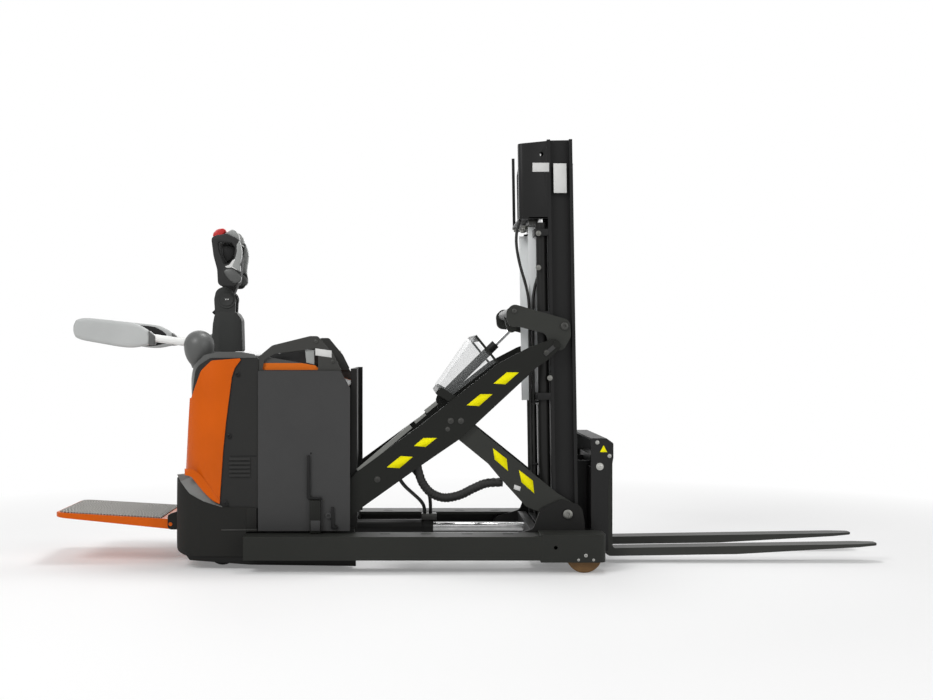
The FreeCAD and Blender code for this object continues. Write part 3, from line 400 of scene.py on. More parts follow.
def ribbedMat(name):
    # wavy ribs across the platform, their crests coloured pale as a painted highlight for glints
    finish = Finish(name)
    x, y = finish.axis(0), finish.axis(1)
    sway = (y * 75.0).math("SINE", 0.0) * 0.009 + finish.noise(9.0, 2.0) * 0.03
    ribsAndGlints = ((x + sway) * 480.0).math("SINE", 0.0) * 0.5 + 0.5
    grain = finish.noise(900.0, 3.0)
    # painted highlight: the rib crests pale grey for glints, the troughs dark rubber
    finish.set(colour=finish.mix(ribsAndGlints.power(2.0), shade(34, 33, 30), shade(204, 201, 194)),
               roughness=grain * 0.2 + 0.55,
               normal=finish.bump(ribsAndGlints + grain * 0.2, 0.0014), specular=0.25)
    return finish.material


def makeFinishes():
    made = {name: paint(name) for name in paints}
    made.update({name: brushedMetal(name, *row) for name, row in metals.items()})
    made.update({name: rubber(name, *row) for name, row in rubbers.items()})
    made["padFoam"] = foam("padFoam", shade(184, 186, 185))
    made["clearPlastic"] = clearSheet("clearPlastic", (0.52, 0.54, 0.54), 0.1)
    made["milkyPlastic"] = clearSheet("milkyPlastic", (0.9, 0.92, 0.92), 0.8, 0.35)
    made["hoodPaint"] = hoodPaint("hoodPaint")
    made["ribbedMat"] = ribbedMat("ribbedMat")
    print("finishes:", len(made))
    return made


# finish: its nodes. A name that ends in _ stands for its left and right one
nodeFinish = {
    "legPaint": "leg_",
    "blackPaint": "frame drive_unit caster_fork_ reach_barrel mast_foot tilt_barrel lift_cylinders",
    "armPaint": "long_arm_ long_arm_tubes short_arm_tube arm_guard_frame",
    "shortArmPaint": "short_arm_ tilt_crank",
    "mastPaint": "outer_rail_ mast_crossbeam mast_ties inner_rail_ inner_ties",
    "panelPaint": "battery_sides hood_lid",
    "hoodPaint": "battery_hood",
    "guardPaint": "guard_plates",
    "carriagePaint": "carriage",
    "forkPaint": "fork_",
    "hubPaint": "gate_housings",
    "columnPaint": "tiller_column",
    "sidePaint": "tractor_core",
    "skirtPaint": "skirt",
    "whitePaint": "gate_",
    "orangePaint": "orange_panels platform",
    "capPlastic": "top_cap",
    "rodChrome": "reach_rod lift_rods tilt_rod",
    "darkSteel": "lift_chains",
    "rubber": "battery",
    "ribbedMat": "platform_mat",
    "hose": "hose_conduit",
    "tyre": "load_wheel_",
    "blackTyre": "drive_wheel caster_wheel_",
    "gripFoam": "tiller_head",
    "padFoam": "gate_pad_",
    "clearPlastic": "arm_guard_panel",
    "milkyPlastic": "mast_guard",
}


def finishNodes(made):
    left = set(nodes)
    for finish, names in nodeFinish.items():
        for name in names.split():
            for full in ([name + "left", name + "right"] if name.endswith("_") else [name]):
                piece = nodes[full]
                if not piece.material_slots:
                    piece.data.materials.append(made[finish])
                for slot in piece.material_slots:
                    slot.material = made[finish]
                left.discard(full)
    print("nodes without a finish:", sorted(left))


# Stage

# the camera's place and lens, and how the floor turns to a plain white from 2.0 to 3.8 m out
stage = {"cameraX": -0.2495, "distance": 6.0, "height": 0.915, "lens": 51.395,
         "shiftX": 0.0606, "shiftY": 0.0021, "worldLight": 0.28,
         "floor": 0.93, "glow": 0.2, "glowFrom": 2.0, "glowTo": 3.8}
# name, place, size, power
lamps = [
    ("keyLamp", (-3.4, -4.2, 4.2), 2.4, 160.0),
    ("fillLamp", (3.6, -4.6, 2.6), 3.5, 60.0),
    ("topLamp", (0.2, 0.4, 4.6), 1.6, 100.0),
    ("backLamp", (-1.0, 4.8, 3.0), 4.0, 70.0),
]


def seenRays(finish):
    path = finish.node("ShaderNodeLightPath")
    total = Value(finish, path.outputs["Is Camera Ray"]) + path.outputs["Is Glossy Ray"]
    return (total + path.outputs["Is Transmission Ray"]).clamped()


def makeCamera(scene):
    camera = bpy.data.objects.new("camera", bpy.data.cameras.new("camera"))
    bpy.context.collection.objects.link(camera)
    camera.location = (stage["cameraX"], -stage["distance"], stage["height"])
    camera.rotation_euler = (math.pi / 2, 0.0, 0.0)
    camera.data.sensor_width = 36.0
    camera.data.lens = stage["lens"]
    camera.data.shift_x = stage["shiftX"]
    camera.data.shift_y = stage["shiftY"]
    scene.camera = camera


def makeLamps():
    for name, spot, size, power in lamps:
        lamp = bpy.data.lights.new(name, "AREA")
        lamp.size = size
        lamp.energy = power
        holder = bpy.data.objects.new(name, lamp)
        bpy.context.collection.objects.link(holder)
        holder.location = spot
        holder.rotation_euler = (Vector((0.0, 0.0, 0.6)) - Vector(spot)).to_track_quat("-Z", "Y").to_euler()


def makeWorld(scene):
    # white where it is looked at, dimmer as a light
    world = bpy.data.worlds.new("studio")
    scene.world = world
    world.use_nodes = True
    tree = world.node_tree
    background = tree.nodes["Background"]
    path = tree.nodes.new("ShaderNodeLightPath")
    total = path.outputs["Is Camera Ray"]
    for ray in ("Is Glossy Ray", "Is Transmission Ray"):
        seen = tree.nodes.new("ShaderNodeMath")
        seen.operation = "MAXIMUM"
        tree.links.new(total, seen.inputs[0])
        tree.links.new(path.outputs[ray], seen.inputs[1])
        total = seen.outputs[0]
    level = tree.nodes.new("ShaderNodeMapRange")
    level.inputs["To Min"].default_value = stage["worldLight"]
    tree.links.new(total, level.inputs["Value"])
    tree.links.new(level.outputs[0], background.inputs["Strength"])
    background.inputs["Color"].default_value = (1.0, 1.0, 1.0, 1.0)


def makeFloor():
    deselectAll()
    bpy.ops.mesh.primitive_plane_add(size=60.0, location=(0.0, 0.0, 0.0))
    floor = startPiece("floor")
    finish = Finish("floorWhite")
    finish.set(colour=(stage["floor"],) * 3, roughness=0.7, specular=0.2)
    glow = finish.node("ShaderNodeEmission", None, {"Color": (1.0, 1.0, 1.0), "Strength": 1.0})
    far = finish.value("ShaderNodeVectorMath", {"operation": "LENGTH"}, {0: finish.coordinates}, "Value")
    spread = far.ramp(stage["glowFrom"], stage["glowTo"]) * (1.0 - stage["glow"]) + stage["glow"]
    share = spread * seenRays(finish)
    ends = {0: share, 1: finish.shader.outputs[0], 2: glow.outputs[0]}
    blend = finish.node("ShaderNodeMixShader", None, ends)
    finish.tree.links.new(blend.outputs[0], finish.output.inputs["Surface"])
    floor.data.materials.append(finish.material)


def makeStage():
    scene = bpy.context.scene
    scene.view_settings.view_transform = "Standard"
    makeCamera(scene)
    makeLamps()
    makeWorld(scene)
    makeFloor()
    print("stage set")


# Where the picture's columns and rows lie in the scene

viewPoint = {"column": 410.0, "row": 352.0, "scale": 1332.0}


def seen(column, row, y):
    # where a point of the picture lies on an upright plane at y
    away = (stage["distance"] + y) / viewPoint["scale"]
    x = (column - viewPoint["column"]) * away - datumShift
    return Vector((x, y, stage["height"] - (row - viewPoint["row"]) * away))


def seenRow(points, y):
    return [seen(column, row, y) for column, row in points]


def slab(name, outline, shift, bevel=0.0008, segments=2, window=None):
    # a flat piece: a filled circle moved onto its outline and drawn out along shift, with a window cut through
    deselectAll()
    bpy.ops.mesh.primitive_circle_add(vertices=len(outline), radius=1.0, fill_type="NGON")
    piece = startPiece(name)
    for vertex, point in zip(piece.data.vertices, outline):
        vertex.co = point
    editMode()
    bpy.ops.mesh.select_all(action="SELECT")
    bpy.ops.mesh.extrude_region_move(TRANSFORM_OT_translate={"value": shift})
    objectMode()
    outward(piece)
    if window:
        start = [point - Vector(shift) for point in window]
        cutter = slab("cutter", start, Vector(shift) * 3.0, 0.0)
        modify(piece, "BOOLEAN", object=cutter, operation="DIFFERENCE", solver="EXACT")
        removePiece(cutter)
    if bevel > 0.0:
        modify(piece, "BEVEL", width=bevel, segments=segments, limit_method="ANGLE")
    return piece


def rounded(rows, steps=6):
    # rows of two lengths and a radius: the outline with its corners turned into arcs
    points = []
    for index, (across, up, radius) in enumerate(rows):
        corner = Vector((across, up))
        before = Vector(rows[index - 1][:2]) - corner
        after = Vector(rows[(index + 1) % len(rows)][:2]) - corner
        if radius <= 0.0:
            points.append(corner)
            continue
        half = before.angle(after) / 2.0
        reach = min(radius / math.tan(half), before.length * 0.49, after.length * 0.49)
        start, end = corner + before.normalized() * reach, corner + after.normalized() * reach
        for step in range(steps + 1):
            part = step / steps
            weights = ((1.0 - part) ** 2, 2.0 * math.sin(half) * part * (1.0 - part), part ** 2)
            points.append((start * weights[0] + corner * weights[1] + end * weights[2]) / sum(weights))
    return points


def drawn(name, rows, low, high, bevel=0.002, window=None):
    # a profile in x, z and corner radius, drawn out across from y = high to y = low
    outline = [place(x, high, z) for x, z in rounded(rows)]
    hole = [place(x, high, z) for x, z in rounded(window)] if window else None
    return slab(name, outline, (0.0, (low - high) / 1000.0, 0.0), bevel, 3, hole)


def raised(name, rows, low, high, bevel=0.0015):
    # a plan in x, y and corner radius, drawn up from z = low to z = high
    outline = [place(x, y, low) for x, y in rounded(rows)]
    return slab(name, outline, (0.0, 0.0, (high - low) / 1000.0), bevel)


def brick(name, low, high, bevel=0.001):
    outline = [(low[0], high[1], low[2]), (high[0], high[1], low[2]),
               (high[0], high[1], high[2]), (low[0], high[1], high[2])]
    return slab(name, outline, (0.0, low[1] - high[1], 0.0), bevel)


def hoseLine(name, points, radius, resolution=6, ridge=0.0):
    deselectAll()
    curve = bpy.data.curves.new(name, "CURVE")
    curve.dimensions = "3D"
    curve.bevel_depth = radius
    curve.bevel_resolution = 3
    curve.resolution_u = resolution
    curve.use_fill_caps = True
    spline = curve.splines.new("NURBS")
    spline.points.add(len(points) - 1)
    for point, target in zip(spline.points, points):
        point.co = (*target, 1.0)
    spline.order_u = 3
    spline.use_endpoint_u = True
    piece = bpy.data.objects.new(name, curve)
    bpy.context.collection.objects.link(piece)
    makeActive(piece)
    bpy.ops.object.convert(target="MESH")
    piece = bpy.context.object
    if ridge > 0.0:
        # every second ring of sixteen points stands out, as on corrugated pipe
        vertices = piece.data.vertices
        for start in range(16, len(vertices) - 31, 32):
            ring = [vertices[start + step] for step in range(16)]
            centre = sum((vertex.co for vertex in ring), Vector()) / 16.0
            for vertex in ring:
                vertex.co = centre + (vertex.co - centre) * (1.0 + ridge)
    outward(piece)
    return piece


def ribbon(name, upper, lower, thick):
    # a strip between two edges, from a grid
    deselectAll()
    count = len(upper)
    bpy.ops.mesh.primitive_grid_add(x_subdivisions=count - 1, y_subdivisions=1, size=2.0)
    piece = startPiece(name)
    vertices = sorted(piece.data.vertices, key=lambda vertex: (round(vertex.co.y, 3), vertex.co.x))
    for vertex, point in zip(vertices, list(lower) + list(upper)):
        vertex.co = point
    modify(piece, "SOLIDIFY", thickness=thick, offset=0.0)
    outward(piece)
    return piece


chainPlan = {"runX": 742.7, "sheaveX": 696.4, "sheaveZ": 1744, "lowZ": 180, "pitch": 24, "rows": (-60, 60),
             "footX": 662.7, "footZ": 229, "lean": 0.9, "lift": 1240}


def leanMatrix():
    foot = Matrix.Translation(place(chainPlan["footX"], 0.0, chainPlan["footZ"]))
    return foot @ Matrix.Rotation(math.radians(-chainPlan["lean"]), 4, "Y") @ foot.inverted()


def bothFaces(piece, name, body, finish, farBody=None):
    # keeps a piece of the near side, and its mirror on the far side
    keep(piece, body, finish)
    other = mirrorY(piece, name)
    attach(other, farBody or body)
    return other


def flatPair(name, body, points, plane, thick, bevel, finish, slot, segments=2):
    # a flat piece on the near side's upright plane, and its mirror
    piece = slab(name + "Right", seenRow(points, plane), (0.0, thick, 0.0), bevel, segments)
    bothFaces(piece, name + "Left", body, finish)


def rodY(name, sides, radius, depth, middle):
    # a round bar along y
    deselectAll()
    bpy.ops.mesh.primitive_cylinder_add(vertices=sides, radius=radius, depth=depth, location=middle,
                                        rotation=(math.pi / 2, 0.0, 0.0))
    piece = startPiece(name)
    applyPlace(piece)
    return piece


def insetEnd(piece, steps, low=True):
    # insets the face at the piece's -Y or +Y end. Steps: thickness, depth
    objectMode()
    for item in list(piece.data.vertices) + list(piece.data.edges):
        item.select = False
    for polygon in piece.data.polygons:
        along = polygon.normal[1]
        polygon.select = abs(along) > 0.99 and (along < 0) == low
        if polygon.select:
            for index in polygon.vertices:
                piece.data.vertices[index].select = True
    editMode()
    bpy.ops.mesh.select_mode(type="FACE")
    for thickness, depth in steps:
        bpy.ops.mesh.inset(thickness=thickness, depth=depth)
    objectMode()


# Bolts: a head with a socket and a hexagon head of radius 1, copied to their places at their own size

bolt = {"height": 0.55, "dome": 0.22, "socket": 0.42, "rim": 0.04, "depth": 0.35, "sunk": 0.0006,
        "washer": 1.45, "washerHeight": 0.18, "washerRim": 0.06, "washerDome": 0.05}


def makeBolt(name, sides, washer):
    height, dome, thick = bolt["height"], bolt["dome"], bolt["washerHeight"]
    piece = rodY(name, sides, 1.0, height, (0.0, -height / 2, 0.0))
    insetEnd(piece, [(dome, dome * 0.5), (1.0 - dome - bolt["socket"], 0.0), (bolt["rim"], -bolt["depth"])])
    outward(piece)
    if washer:
        ring = rodY(name + "Washer", 24, bolt["washer"], thick, (0.0, -thick / 2, 0.0))
        insetEnd(ring, [(bolt["washerRim"], bolt["washerDome"])])
        piece = joined(name, [piece, ring])
    return piece


# Gate pads: crowned foam bars, with a hard collar where the tube goes in

padShape = {
    "outline": [(82.8, 317.7), (92.4, 318.3), (105, 319.5), (117.6, 321), (128, 322), (136.7, 323.4),
                (145.7, 328.2), (151, 332.6), (151, 344.8), (145.7, 345.6), (137.9, 347.4), (129, 348),
                (116, 346.2), (103.2, 343.8), (92, 341.8), (81, 339.9), (76.4, 337.2), (74.1, 333),
                (73.9, 328.5), (74.3, 324.5), (76.6, 320.3)],
    "near": -0.292, "plane": -0.28, "core": 0.024, "steps": [(0.003, 0.0045), (0.006, 0.0035), (0.009, 0.0015)],
    "backPlane": -0.2615, "backThick": 0.0048, "backShare": 0.84, "collarPlane": -0.303, "collarThick": 0.046,
    "collar": [(148.5, 330.6), (154.9, 336), (154.5, 344.6), (148.5, 345.2)],
}


def gatePads():
    plane = padShape["plane"]
    piece = slab("gatePadRight", seenRow(padShape["outline"], plane), (0.0, padShape["core"], 0.0), 0.0001, 1)
    piece.data.transform(Matrix.Translation((0.0, padShape["near"] - plane, 0.0)))
    for low in (True, False):
        insetEnd(piece, padShape["steps"], low)
    outward(piece)
    modify(piece, "SUBSURF", levels=2, render_levels=2)
    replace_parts(keep(piece, "gate_right", "padFoam", 80.0), "gate_pad_right")
    other = mirrorY(piece, "gatePadLeft")
    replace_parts(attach(other, "gate_left"), "gate_pad_left")
    collar = slab("padCollarRight", seenRow(padShape["collar"], padShape["collarPlane"]),
                  (0.0, padShape["collarThick"], 0.0), 0.004, 3)
    keep(collar, "gate_right", "hubPaint")
    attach(mirrorY(collar, "padCollarLeft"), "gate_left")
    print("gate pads set")


# Pad backs: the dark inner faces of the gates' pads

def padBacks():
    outline = seenRow(padShape["outline"], padShape["backPlane"])
    middle = sum(outline, Vector()) / len(outline)
    inner = [middle + (point - middle) * padShape["backShare"] for point in outline]
    piece = slab("padBackRight", inner, (0.0, padShape["backThick"], 0.0), 0.002, 3)
    bothFaces(piece, "padBackLeft", "gate_right", "lockPaint", "gate_left")
    print("pad backs set")


# Gate housings: a ball on a tapered foot

hub = {"x": -905.0, "y": -280.0, "z": 943.0, "radius": 0.065, "foot": 0.097, "taper": 0.034}


def gateHubs():
    deselectAll()
    bpy.ops.mesh.primitive_uv_sphere_add(segments=48, ring_count=32, radius=hub["radius"])
    piece = startPiece("gateHubRight")
    for vertex in piece.data.vertices:
        down = -vertex.co.z / hub["radius"]
        if down > 0.0:
            across = math.hypot(vertex.co.x, vertex.co.y)
            if across > 0.0001:
                wide = max(across, hub["radius"] - 0.001 - hub["taper"] * down)
                vertex.co.x *= wide / across
                vertex.co.y *= wide / across
            vertex.co.z = -hub["foot"] * down
    piece.data.transform(Matrix.Translation(place(hub["x"], hub["y"], hub["z"])))
    for side in (piece, bothFaces(piece, "gateHubLeft", "chassis", "hubPaint")):
        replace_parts(side, "gate_housings")
    print("gate housings set")


# Tiller head: the moulding between the rings, the rings that guard the hands and the bars that carry them

headShape = {
    "neck": [(-850, 1165, 10), (-800, 1150, 10), (-768, 1225, 10), (-838, 1225, 10)],
    "middle": [(-838, 1214, 16), (-762, 1214, 20), (-752, 1330, 30), (-766, 1412, 24),
               (-806, 1436, 14), (-862, 1422, 14), (-850, 1330, 60)],
    "ring": [(-877, 1424, 20), (-866, 1338, 120), (-850, 1279, 80), (-846, 1204, 24),
             (-765, 1204, 22), (-743, 1244, 18), (-750, 1279, 10), (-744, 1340, 40),
             (-752, 1412, 30), (-806, 1438, 16)],
    "window": [(-847, 1400, 8), (-841, 1360, 60), (-819, 1300, 8), (-797, 1306, 8),
               (-775, 1330, 10), (-771, 1373, 10), (-785, 1395, 8)],
    "disc": (-826, 1143, 0.041), "discShare": 0.26, "neckHalf": 34, "middleHalf": 46,
    "ringSides": [(-134, -108), (108, 134)],
    "bars": [(-848, 1421, 0.013), (-800, 1245, 0.022)],
}


def gripBar(x, z, radius):
    # a hand grip along y, with a small step at each end
    bar = rodY("gripBar", 32, radius, 0.22, place(x, 0.0, z))
    for low in (True, False):
        insetEnd(bar, [(radius * 0.1, 0.003)], low)
    return bar


def tillerHead():
    disc = gripBar(*headShape["disc"])
    disc.data.transform(Matrix.Diagonal((1.0, headShape["discShare"], 1.0, 1.0)))
    pieces = [disc]
    for name, bevel in (("neck", 0.006), ("middle", 0.012)):
        half = headShape[name + "Half"]
        pieces.append(drawn(name, headShape[name], -half, half, bevel))
    for low, high in headShape["ringSides"]:
        pieces.append(drawn("ring", headShape["ring"], low, high, 0.005, headShape["window"]))
    pieces += [gripBar(*row) for row in headShape["bars"]]
    piece = keep(joined("tillerMoulding", pieces), "tiller_head", "gripFoam")
    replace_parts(piece, "tiller_head")
    print("tiller head set")


# Orange side panels, wrapped round the housing's rear corners, and the ledge below them

panel = {
    "outline": [(-932.5, 720, 0), (-955.5, 410, 20), (-956.5, 395, 0), (-947, 395, 10), (-921, 390, 14),
                (-895, 360, 30), (-860, 317, 40), (-835, 294, 30), (-801, 274, 6), (-786, 497, 0),
                (-773.5, 620.7, 60), (-749, 811, 60), (-736.6, 848, 10), (-706, 889, 6),
                (-835, 879, 20), (-880, 836, 30), (-926, 720, 10)],
    "half": 400, "wrap": 268, "rear": -962, "radius": 120, "strips": 9, "stripAngle": 7,
}
# rows: x, z of the ledge's outer edge on the skirt, then of its inner edge on the housing
ledgeRows = [(-993, 392, -956, 393), (-972, 366, -921, 388), (-950, 342, -895, 358),
             (-928, 318, -860, 315), (-897, 302, -835, 292), (-866, 286, -815, 279),
             (-790, 262, -790, 265)]
# rear, half width and corner radius of the ledge's outer and inner edge in plan
ledgePlans = {"outer": (-999.0, 400.4, 120.0), "inner": (-956.0, 393.6, 120.0)}
skirtEnd = [(-689, 158.5, 0), (-645, 158.5, 0), (-645, 259, 0), (-689, 262, 0)]


def planY(x, rear, half, radius):
    # how far out the near side lies at x, round its rear corner
    back = min(max(rear + radius - x, 0.0), radius)
    return -(half - radius) - math.sqrt(radius * radius - back * back)


def orangePanels():
    piece = drawn("orangePanelRight", panel["outline"], -panel["half"], -panel["wrap"], 0.0)
    makeActive(piece)
    editMode()
    centre = panel["rear"] + panel["radius"]
    for strip in range(panel["strips"]):
        bpy.ops.mesh.select_all(action="SELECT")
        x = centre - panel["radius"] * math.sin(math.radians(panel["stripAngle"] * strip))
        bpy.ops.mesh.bisect(plane_co=place(x, 0.0, 0.0), plane_no=(1.0, 0.0, 0.0))
    objectMode()
    for vertex in piece.data.vertices:
        if vertex.co.y < -0.39:
            x = (vertex.co.x + datumShift) * 1000.0
            vertex.co.y = planY(x, panel["rear"], panel["half"], panel["radius"]) / 1000.0
    outward(piece)
    modify(piece, "BEVEL", width=0.004, segments=3, limit_method="ANGLE", angle_limit=math.radians(40.0))
    other = bothFaces(piece, "orangePanelLeft", "chassis", "orangePaint")
    for side in (piece, other):
        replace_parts(side, "orange_panels")
    outer, inner = [], []
    for x, z, innerX, innerZ in ledgeRows:
        outer.append(place(x, planY(x, *ledgePlans["outer"]), z))
        inner.append(place(innerX, planY(innerX, *ledgePlans["inner"]), innerZ))
    # the ledge's light grey is painted light, for the light falling on its upward face
    ledge = ribbon("skirtLedgeRight", inner, outer, 0.002)
    bothFaces(ledge, "skirtLedgeLeft", "chassis", "ledgePaintedLight")
    filler = drawn("skirtEndRight", skirtEnd, -400.0, -388.0, 0.001)
    bothFaces(filler, "skirtEndLeft", "chassis", "skirtPaint")
    print("panels set")


# Crossbeam between the rails' tops, the guard's brackets and the hoses, upright before the mast's lean

beam = {
    "rear": 486, "front": 608.4, "half": 322, "low": 1486, "high": 1810, "steel": 8, "corner": 40,
    "rise": 6, "drop": 10,
    "shelfIn": 6, "shelfY": 150, "farSlope": (10, 60), "farX": 530, "hole": (585, 1760, 0.009),
    "strip": ((492, 117, 1488), (505, 123, 1806)),
    "sheetX": 572, "sheetFold": 42, "sheetHalf": 237, "sheetThick": 5, "sheetZ": (692, 1458),
    "bracketZ": (712, 1060, 1412), "bracketRear": 548.7, "bracketReach": 84.5, "bracketHigh": 30,
    "bracketThick": 7, "tie": (130, 160), "tieWide": 50,
}


def crossBeam():
    rear, front, half, steel = beam["rear"], beam["front"], beam["half"], beam["steel"]
    low, high, corner, far = beam["low"], beam["high"], beam["corner"], beam["farX"]
    shelf = raised("shelf", [(rear, -half, corner), (front, -half, 0), (front, half, 0), (far, half, 20),
                             (rear + beam["shelfIn"], beam["shelfY"], 60)], low, low + steel)
    wall = rounded([(rear, corner - half, 0), (rear, -half, corner), (front, -half, 0)])
    inside = rounded([(rear + steel, corner - half, 0), (rear + steel, steel - half, corner - steel),
                      (front, steel - half, 0)])
    cheek = raised("cheek", [(x, y, 0) for x, y in wall + inside[::-1]], low, high, 0.0)
    for vertex in cheek.data.vertices:
        if vertex.co.z > (low + high) / 2000.0:
            x = (vertex.co.x + datumShift) * 1000.0
            vertex.co.z += (beam["rise"] - beam["drop"] * (front - x) / (front - rear)) / 1000.0
    slopeX, slopeZ = beam["farSlope"]
    other = drawn("farCheek", [(far, low, 0), (front, low, 0), (front, high, 0), (far + slopeX, high, 30),
                               (far, high - slopeZ, 20)], half - steel, half, 0.001)
    strip = brick("strip", place(*beam["strip"][0]), place(*beam["strip"][1]), 0.001)
    holeX, holeZ, radius = beam["hole"]
    drill = rodY("drill", 24, radius, 0.8, place(holeX, 0.0, holeZ))
    for side in (cheek, other):
        modify(side, "BOOLEAN", object=drill, operation="DIFFERENCE", solver="EXACT")
    removePiece(drill)
    piece = joined("crossBeam", [cheek, shelf, other, strip])
    piece.data.transform(leanMatrix())
    modify(piece, "BEVEL", width=0.0012, segments=2, limit_method="ANGLE")
    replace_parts(keep(piece, "mast_outer", "mastPaint"), "mast_crossbeam")
    print("crossbeam set")


def brackets():
    front, rear, half, reach = beam["front"], beam["bracketRear"], beam["half"], beam["bracketReach"]
    thick = beam["bracketThick"]
    bent = [(rear, -half, 12), (front, -half, 0), (front, thick - half, 0), (rear + thick, thick - half, 5),
            (rear + thick, reach - half, 0), (rear, reach - half, 0)]
    pieces = []
    for z in beam["bracketZ"]:
        near = raised("bracket", bent, z, z + beam["bracketHigh"], 0.001)
        pieces += [near, mirrorY(near, "bracketFar")]
    low, high = beam["tie"]
    pieces.append(brick("lowTie", place(front - beam["tieWide"], -half, low), place(front, half, high), 0.002))
    piece = joined("guardBrackets", pieces)
    piece.data.transform(leanMatrix())
    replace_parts(keep(piece, "mast_outer", "mastPaint"), "mast_ties")
    edge, sheet, thick = beam["sheetHalf"], beam["sheetX"], beam["sheetThick"]
    back = sheet - beam["sheetFold"]
    folded = [(sheet, -edge, 4), (sheet, edge, 4), (back, edge, 0), (back, edge - thick, 0),
              (sheet - thick, edge - thick, 2), (sheet - thick, thick - edge, 2), (back, thick - edge, 0),
              (back, -edge, 0)]
    guard = raised("mastGuardSheet", folded, *beam["sheetZ"], 0.0008)
    guard.data.transform(leanMatrix())
    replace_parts(keep(guard, "mast_outer", "milkyPlastic"), "mast_guard")
    print("brackets and guard set")


mastHoseRows = {
    "mastHoseRear": [(520.4, 219.6), (518.4, 225), (516.4, 233), (516.2, 246), (520, 266), (526.6, 287),
                     (529.2, 302), (529.6, 330), (530.4, 400), (531.4, 480), (534, 510), (538.6, 526)],
    "mastHoseFront": [(541.2, 262), (540, 271), (536, 282), (533.4, 294), (532.8, 310),
                      (533.4, 400), (534.6, 480), (537.4, 508), (541.6, 524)],
}


mastHose = {"plane": -0.25, "radius": 0.0065}


def mastHoses():
    for name, points in mastHoseRows.items():
        piece = hoseLine(name, seenRow(points, mastHose["plane"]), mastHose["radius"])
        keep(piece, "mast_outer", "hose", 80.0)
    print("mast hoses set")


# On the tiller head: red button, thumb levers, pale guard shells and cups over the rings

headRows = [
    # name, near plane, thickness, bevel, finish, outline
    ("thumbLever", -0.1, 0.034, 0.003, "palePlastic",
     [(225, 233.6), (229.4, 230.8), (232.2, 229.4), (235.6, 230.8), (238.6, 235.2), (239.6, 240.2),
      (236.6, 241.6), (231.2, 238.6), (227, 235.8)]),
    ("leverStrap", -0.104, 0.04, 0.001, "labelWhite",
     [(227.2, 236.2), (231.4, 239), (238.6, 242.4), (238.4, 243.8), (230.8, 240.4), (226.8, 237.4)]),
    ("gripBar", -0.118, 0.06, 0.004, "capPlastic",
     [(217.6, 238.6), (230.4, 239.6), (230.2, 243.2), (219.4, 242.9)]),
    ("ringShell", -0.1375, 0.033, 0.004, "palePlastic",
     [(239, 240.4), (241, 246), (241.8, 252), (241.2, 258), (239.9, 264), (240.1, 272), (236.4, 269.8),
      (231.8, 266.2), (234.6, 259.6), (236.6, 252), (236.4, 245)]),
    ("ringGusset", -0.1365, 0.031, 0.003, "labelWhite",
     [(224.6, 266.4), (229.2, 264.8), (232.4, 260.4), (234.6, 258.6), (237.4, 262.4), (238, 270.8),
      (231.6, 267.6), (226.6, 268)]),
    ("ringCup", -0.1395, 0.036, 0.007, "capPlastic",
     [(223, 271.2), (226.6, 268.6), (231.6, 268.2), (236.6, 271.2), (241, 276), (241, 279.4), (239.4, 282.6),
      (234.4, 284), (229.6, 280.4), (226, 276.4)]),
    # the switches between the rings: black, partly their own dark plastic and partly painted shade for the
    # shadow they lie in
    ("gripSwitch", -0.096, 0.036, 0.004, "lockPaint",
     [(222, 246), (228, 244.6), (235.2, 247), (234.6, 254), (231, 260), (226.4, 262.4), (223, 257)]),
]
tiller = {
    "button": [(212.7, 236.4), (213.2, 233.2), (216.2, 229.9), (219.2, 228.7), (223.2, 228.4), (225.4, 229.4),
               (225.7, 231), (223.6, 234), (220, 236.9), (216, 236.8)],
    "plate": [(228.8, 321.8), (235.4, 321.8), (235.4, 342.6), (228.8, 342.6)], "plateHalf": 0.059,
    "pivot": (226.8, 299.3, -0.058), "discs": [(0.0405, 0.004, 0), (0.03, 0.0025, 0.004)],
    "marks": (225.2, 227.4), "markTop": 298.7, "markLow": 300, "markWide": 1.4, "markPlane": -0.0642,
}


def tillerPieces():
    button = slab("stopButton", seenRow(tiller["button"], -0.045), (0.0, 0.09, 0.0), 0.008, 4)
    keep(button, "tiller_head", "redPlastic")
    for name, near, thick, bevel, finish, outline in headRows:
        flatPair(name, "tiller_head", outline, near, thick, bevel, finish, "tiller_grey", 3)
    discs = []
    for radius, depth, out in tiller["discs"]:
        middle = seen(*tiller["pivot"]) - Vector((0.0, out + depth / 2, 0.0))
        discs.append(rodY("pivotDisc", 48, radius, depth, middle))
        insetEnd(discs[-1], [(0.004, -0.0012)])
    cap = joined("pivotCapRight", discs)
    modify(cap, "BEVEL", width=0.0006, segments=2, limit_method="ANGLE")
    bothFaces(cap, "pivotCapLeft", "tiller_column", "columnPaint")
    marks, top, low = [], tiller["markTop"], tiller["markLow"]
    for left in tiller["marks"]:
        right = left + tiller["markWide"]
        corners = seenRow([(left, top), (right, top), (right, low), (left, low)], tiller["markPlane"])
        marks.append(slab("pivotMark", corners, (0.0, -0.0006, 0.0), 0.0002))
    bothFaces(joined("pivotMarksRight", marks), "pivotMarksLeft", "tiller_column", "labelWhite")
    half = tiller["plateHalf"]
    plate = slab("columnPlate", seenRow(tiller["plate"], -half), (0.0, half * 2, 0.0), 0.004, 3)
    keep(plate, "tiller_column", "panelPaint")
    print("tiller pieces set")


# Small things on the housing, the battery and its guards

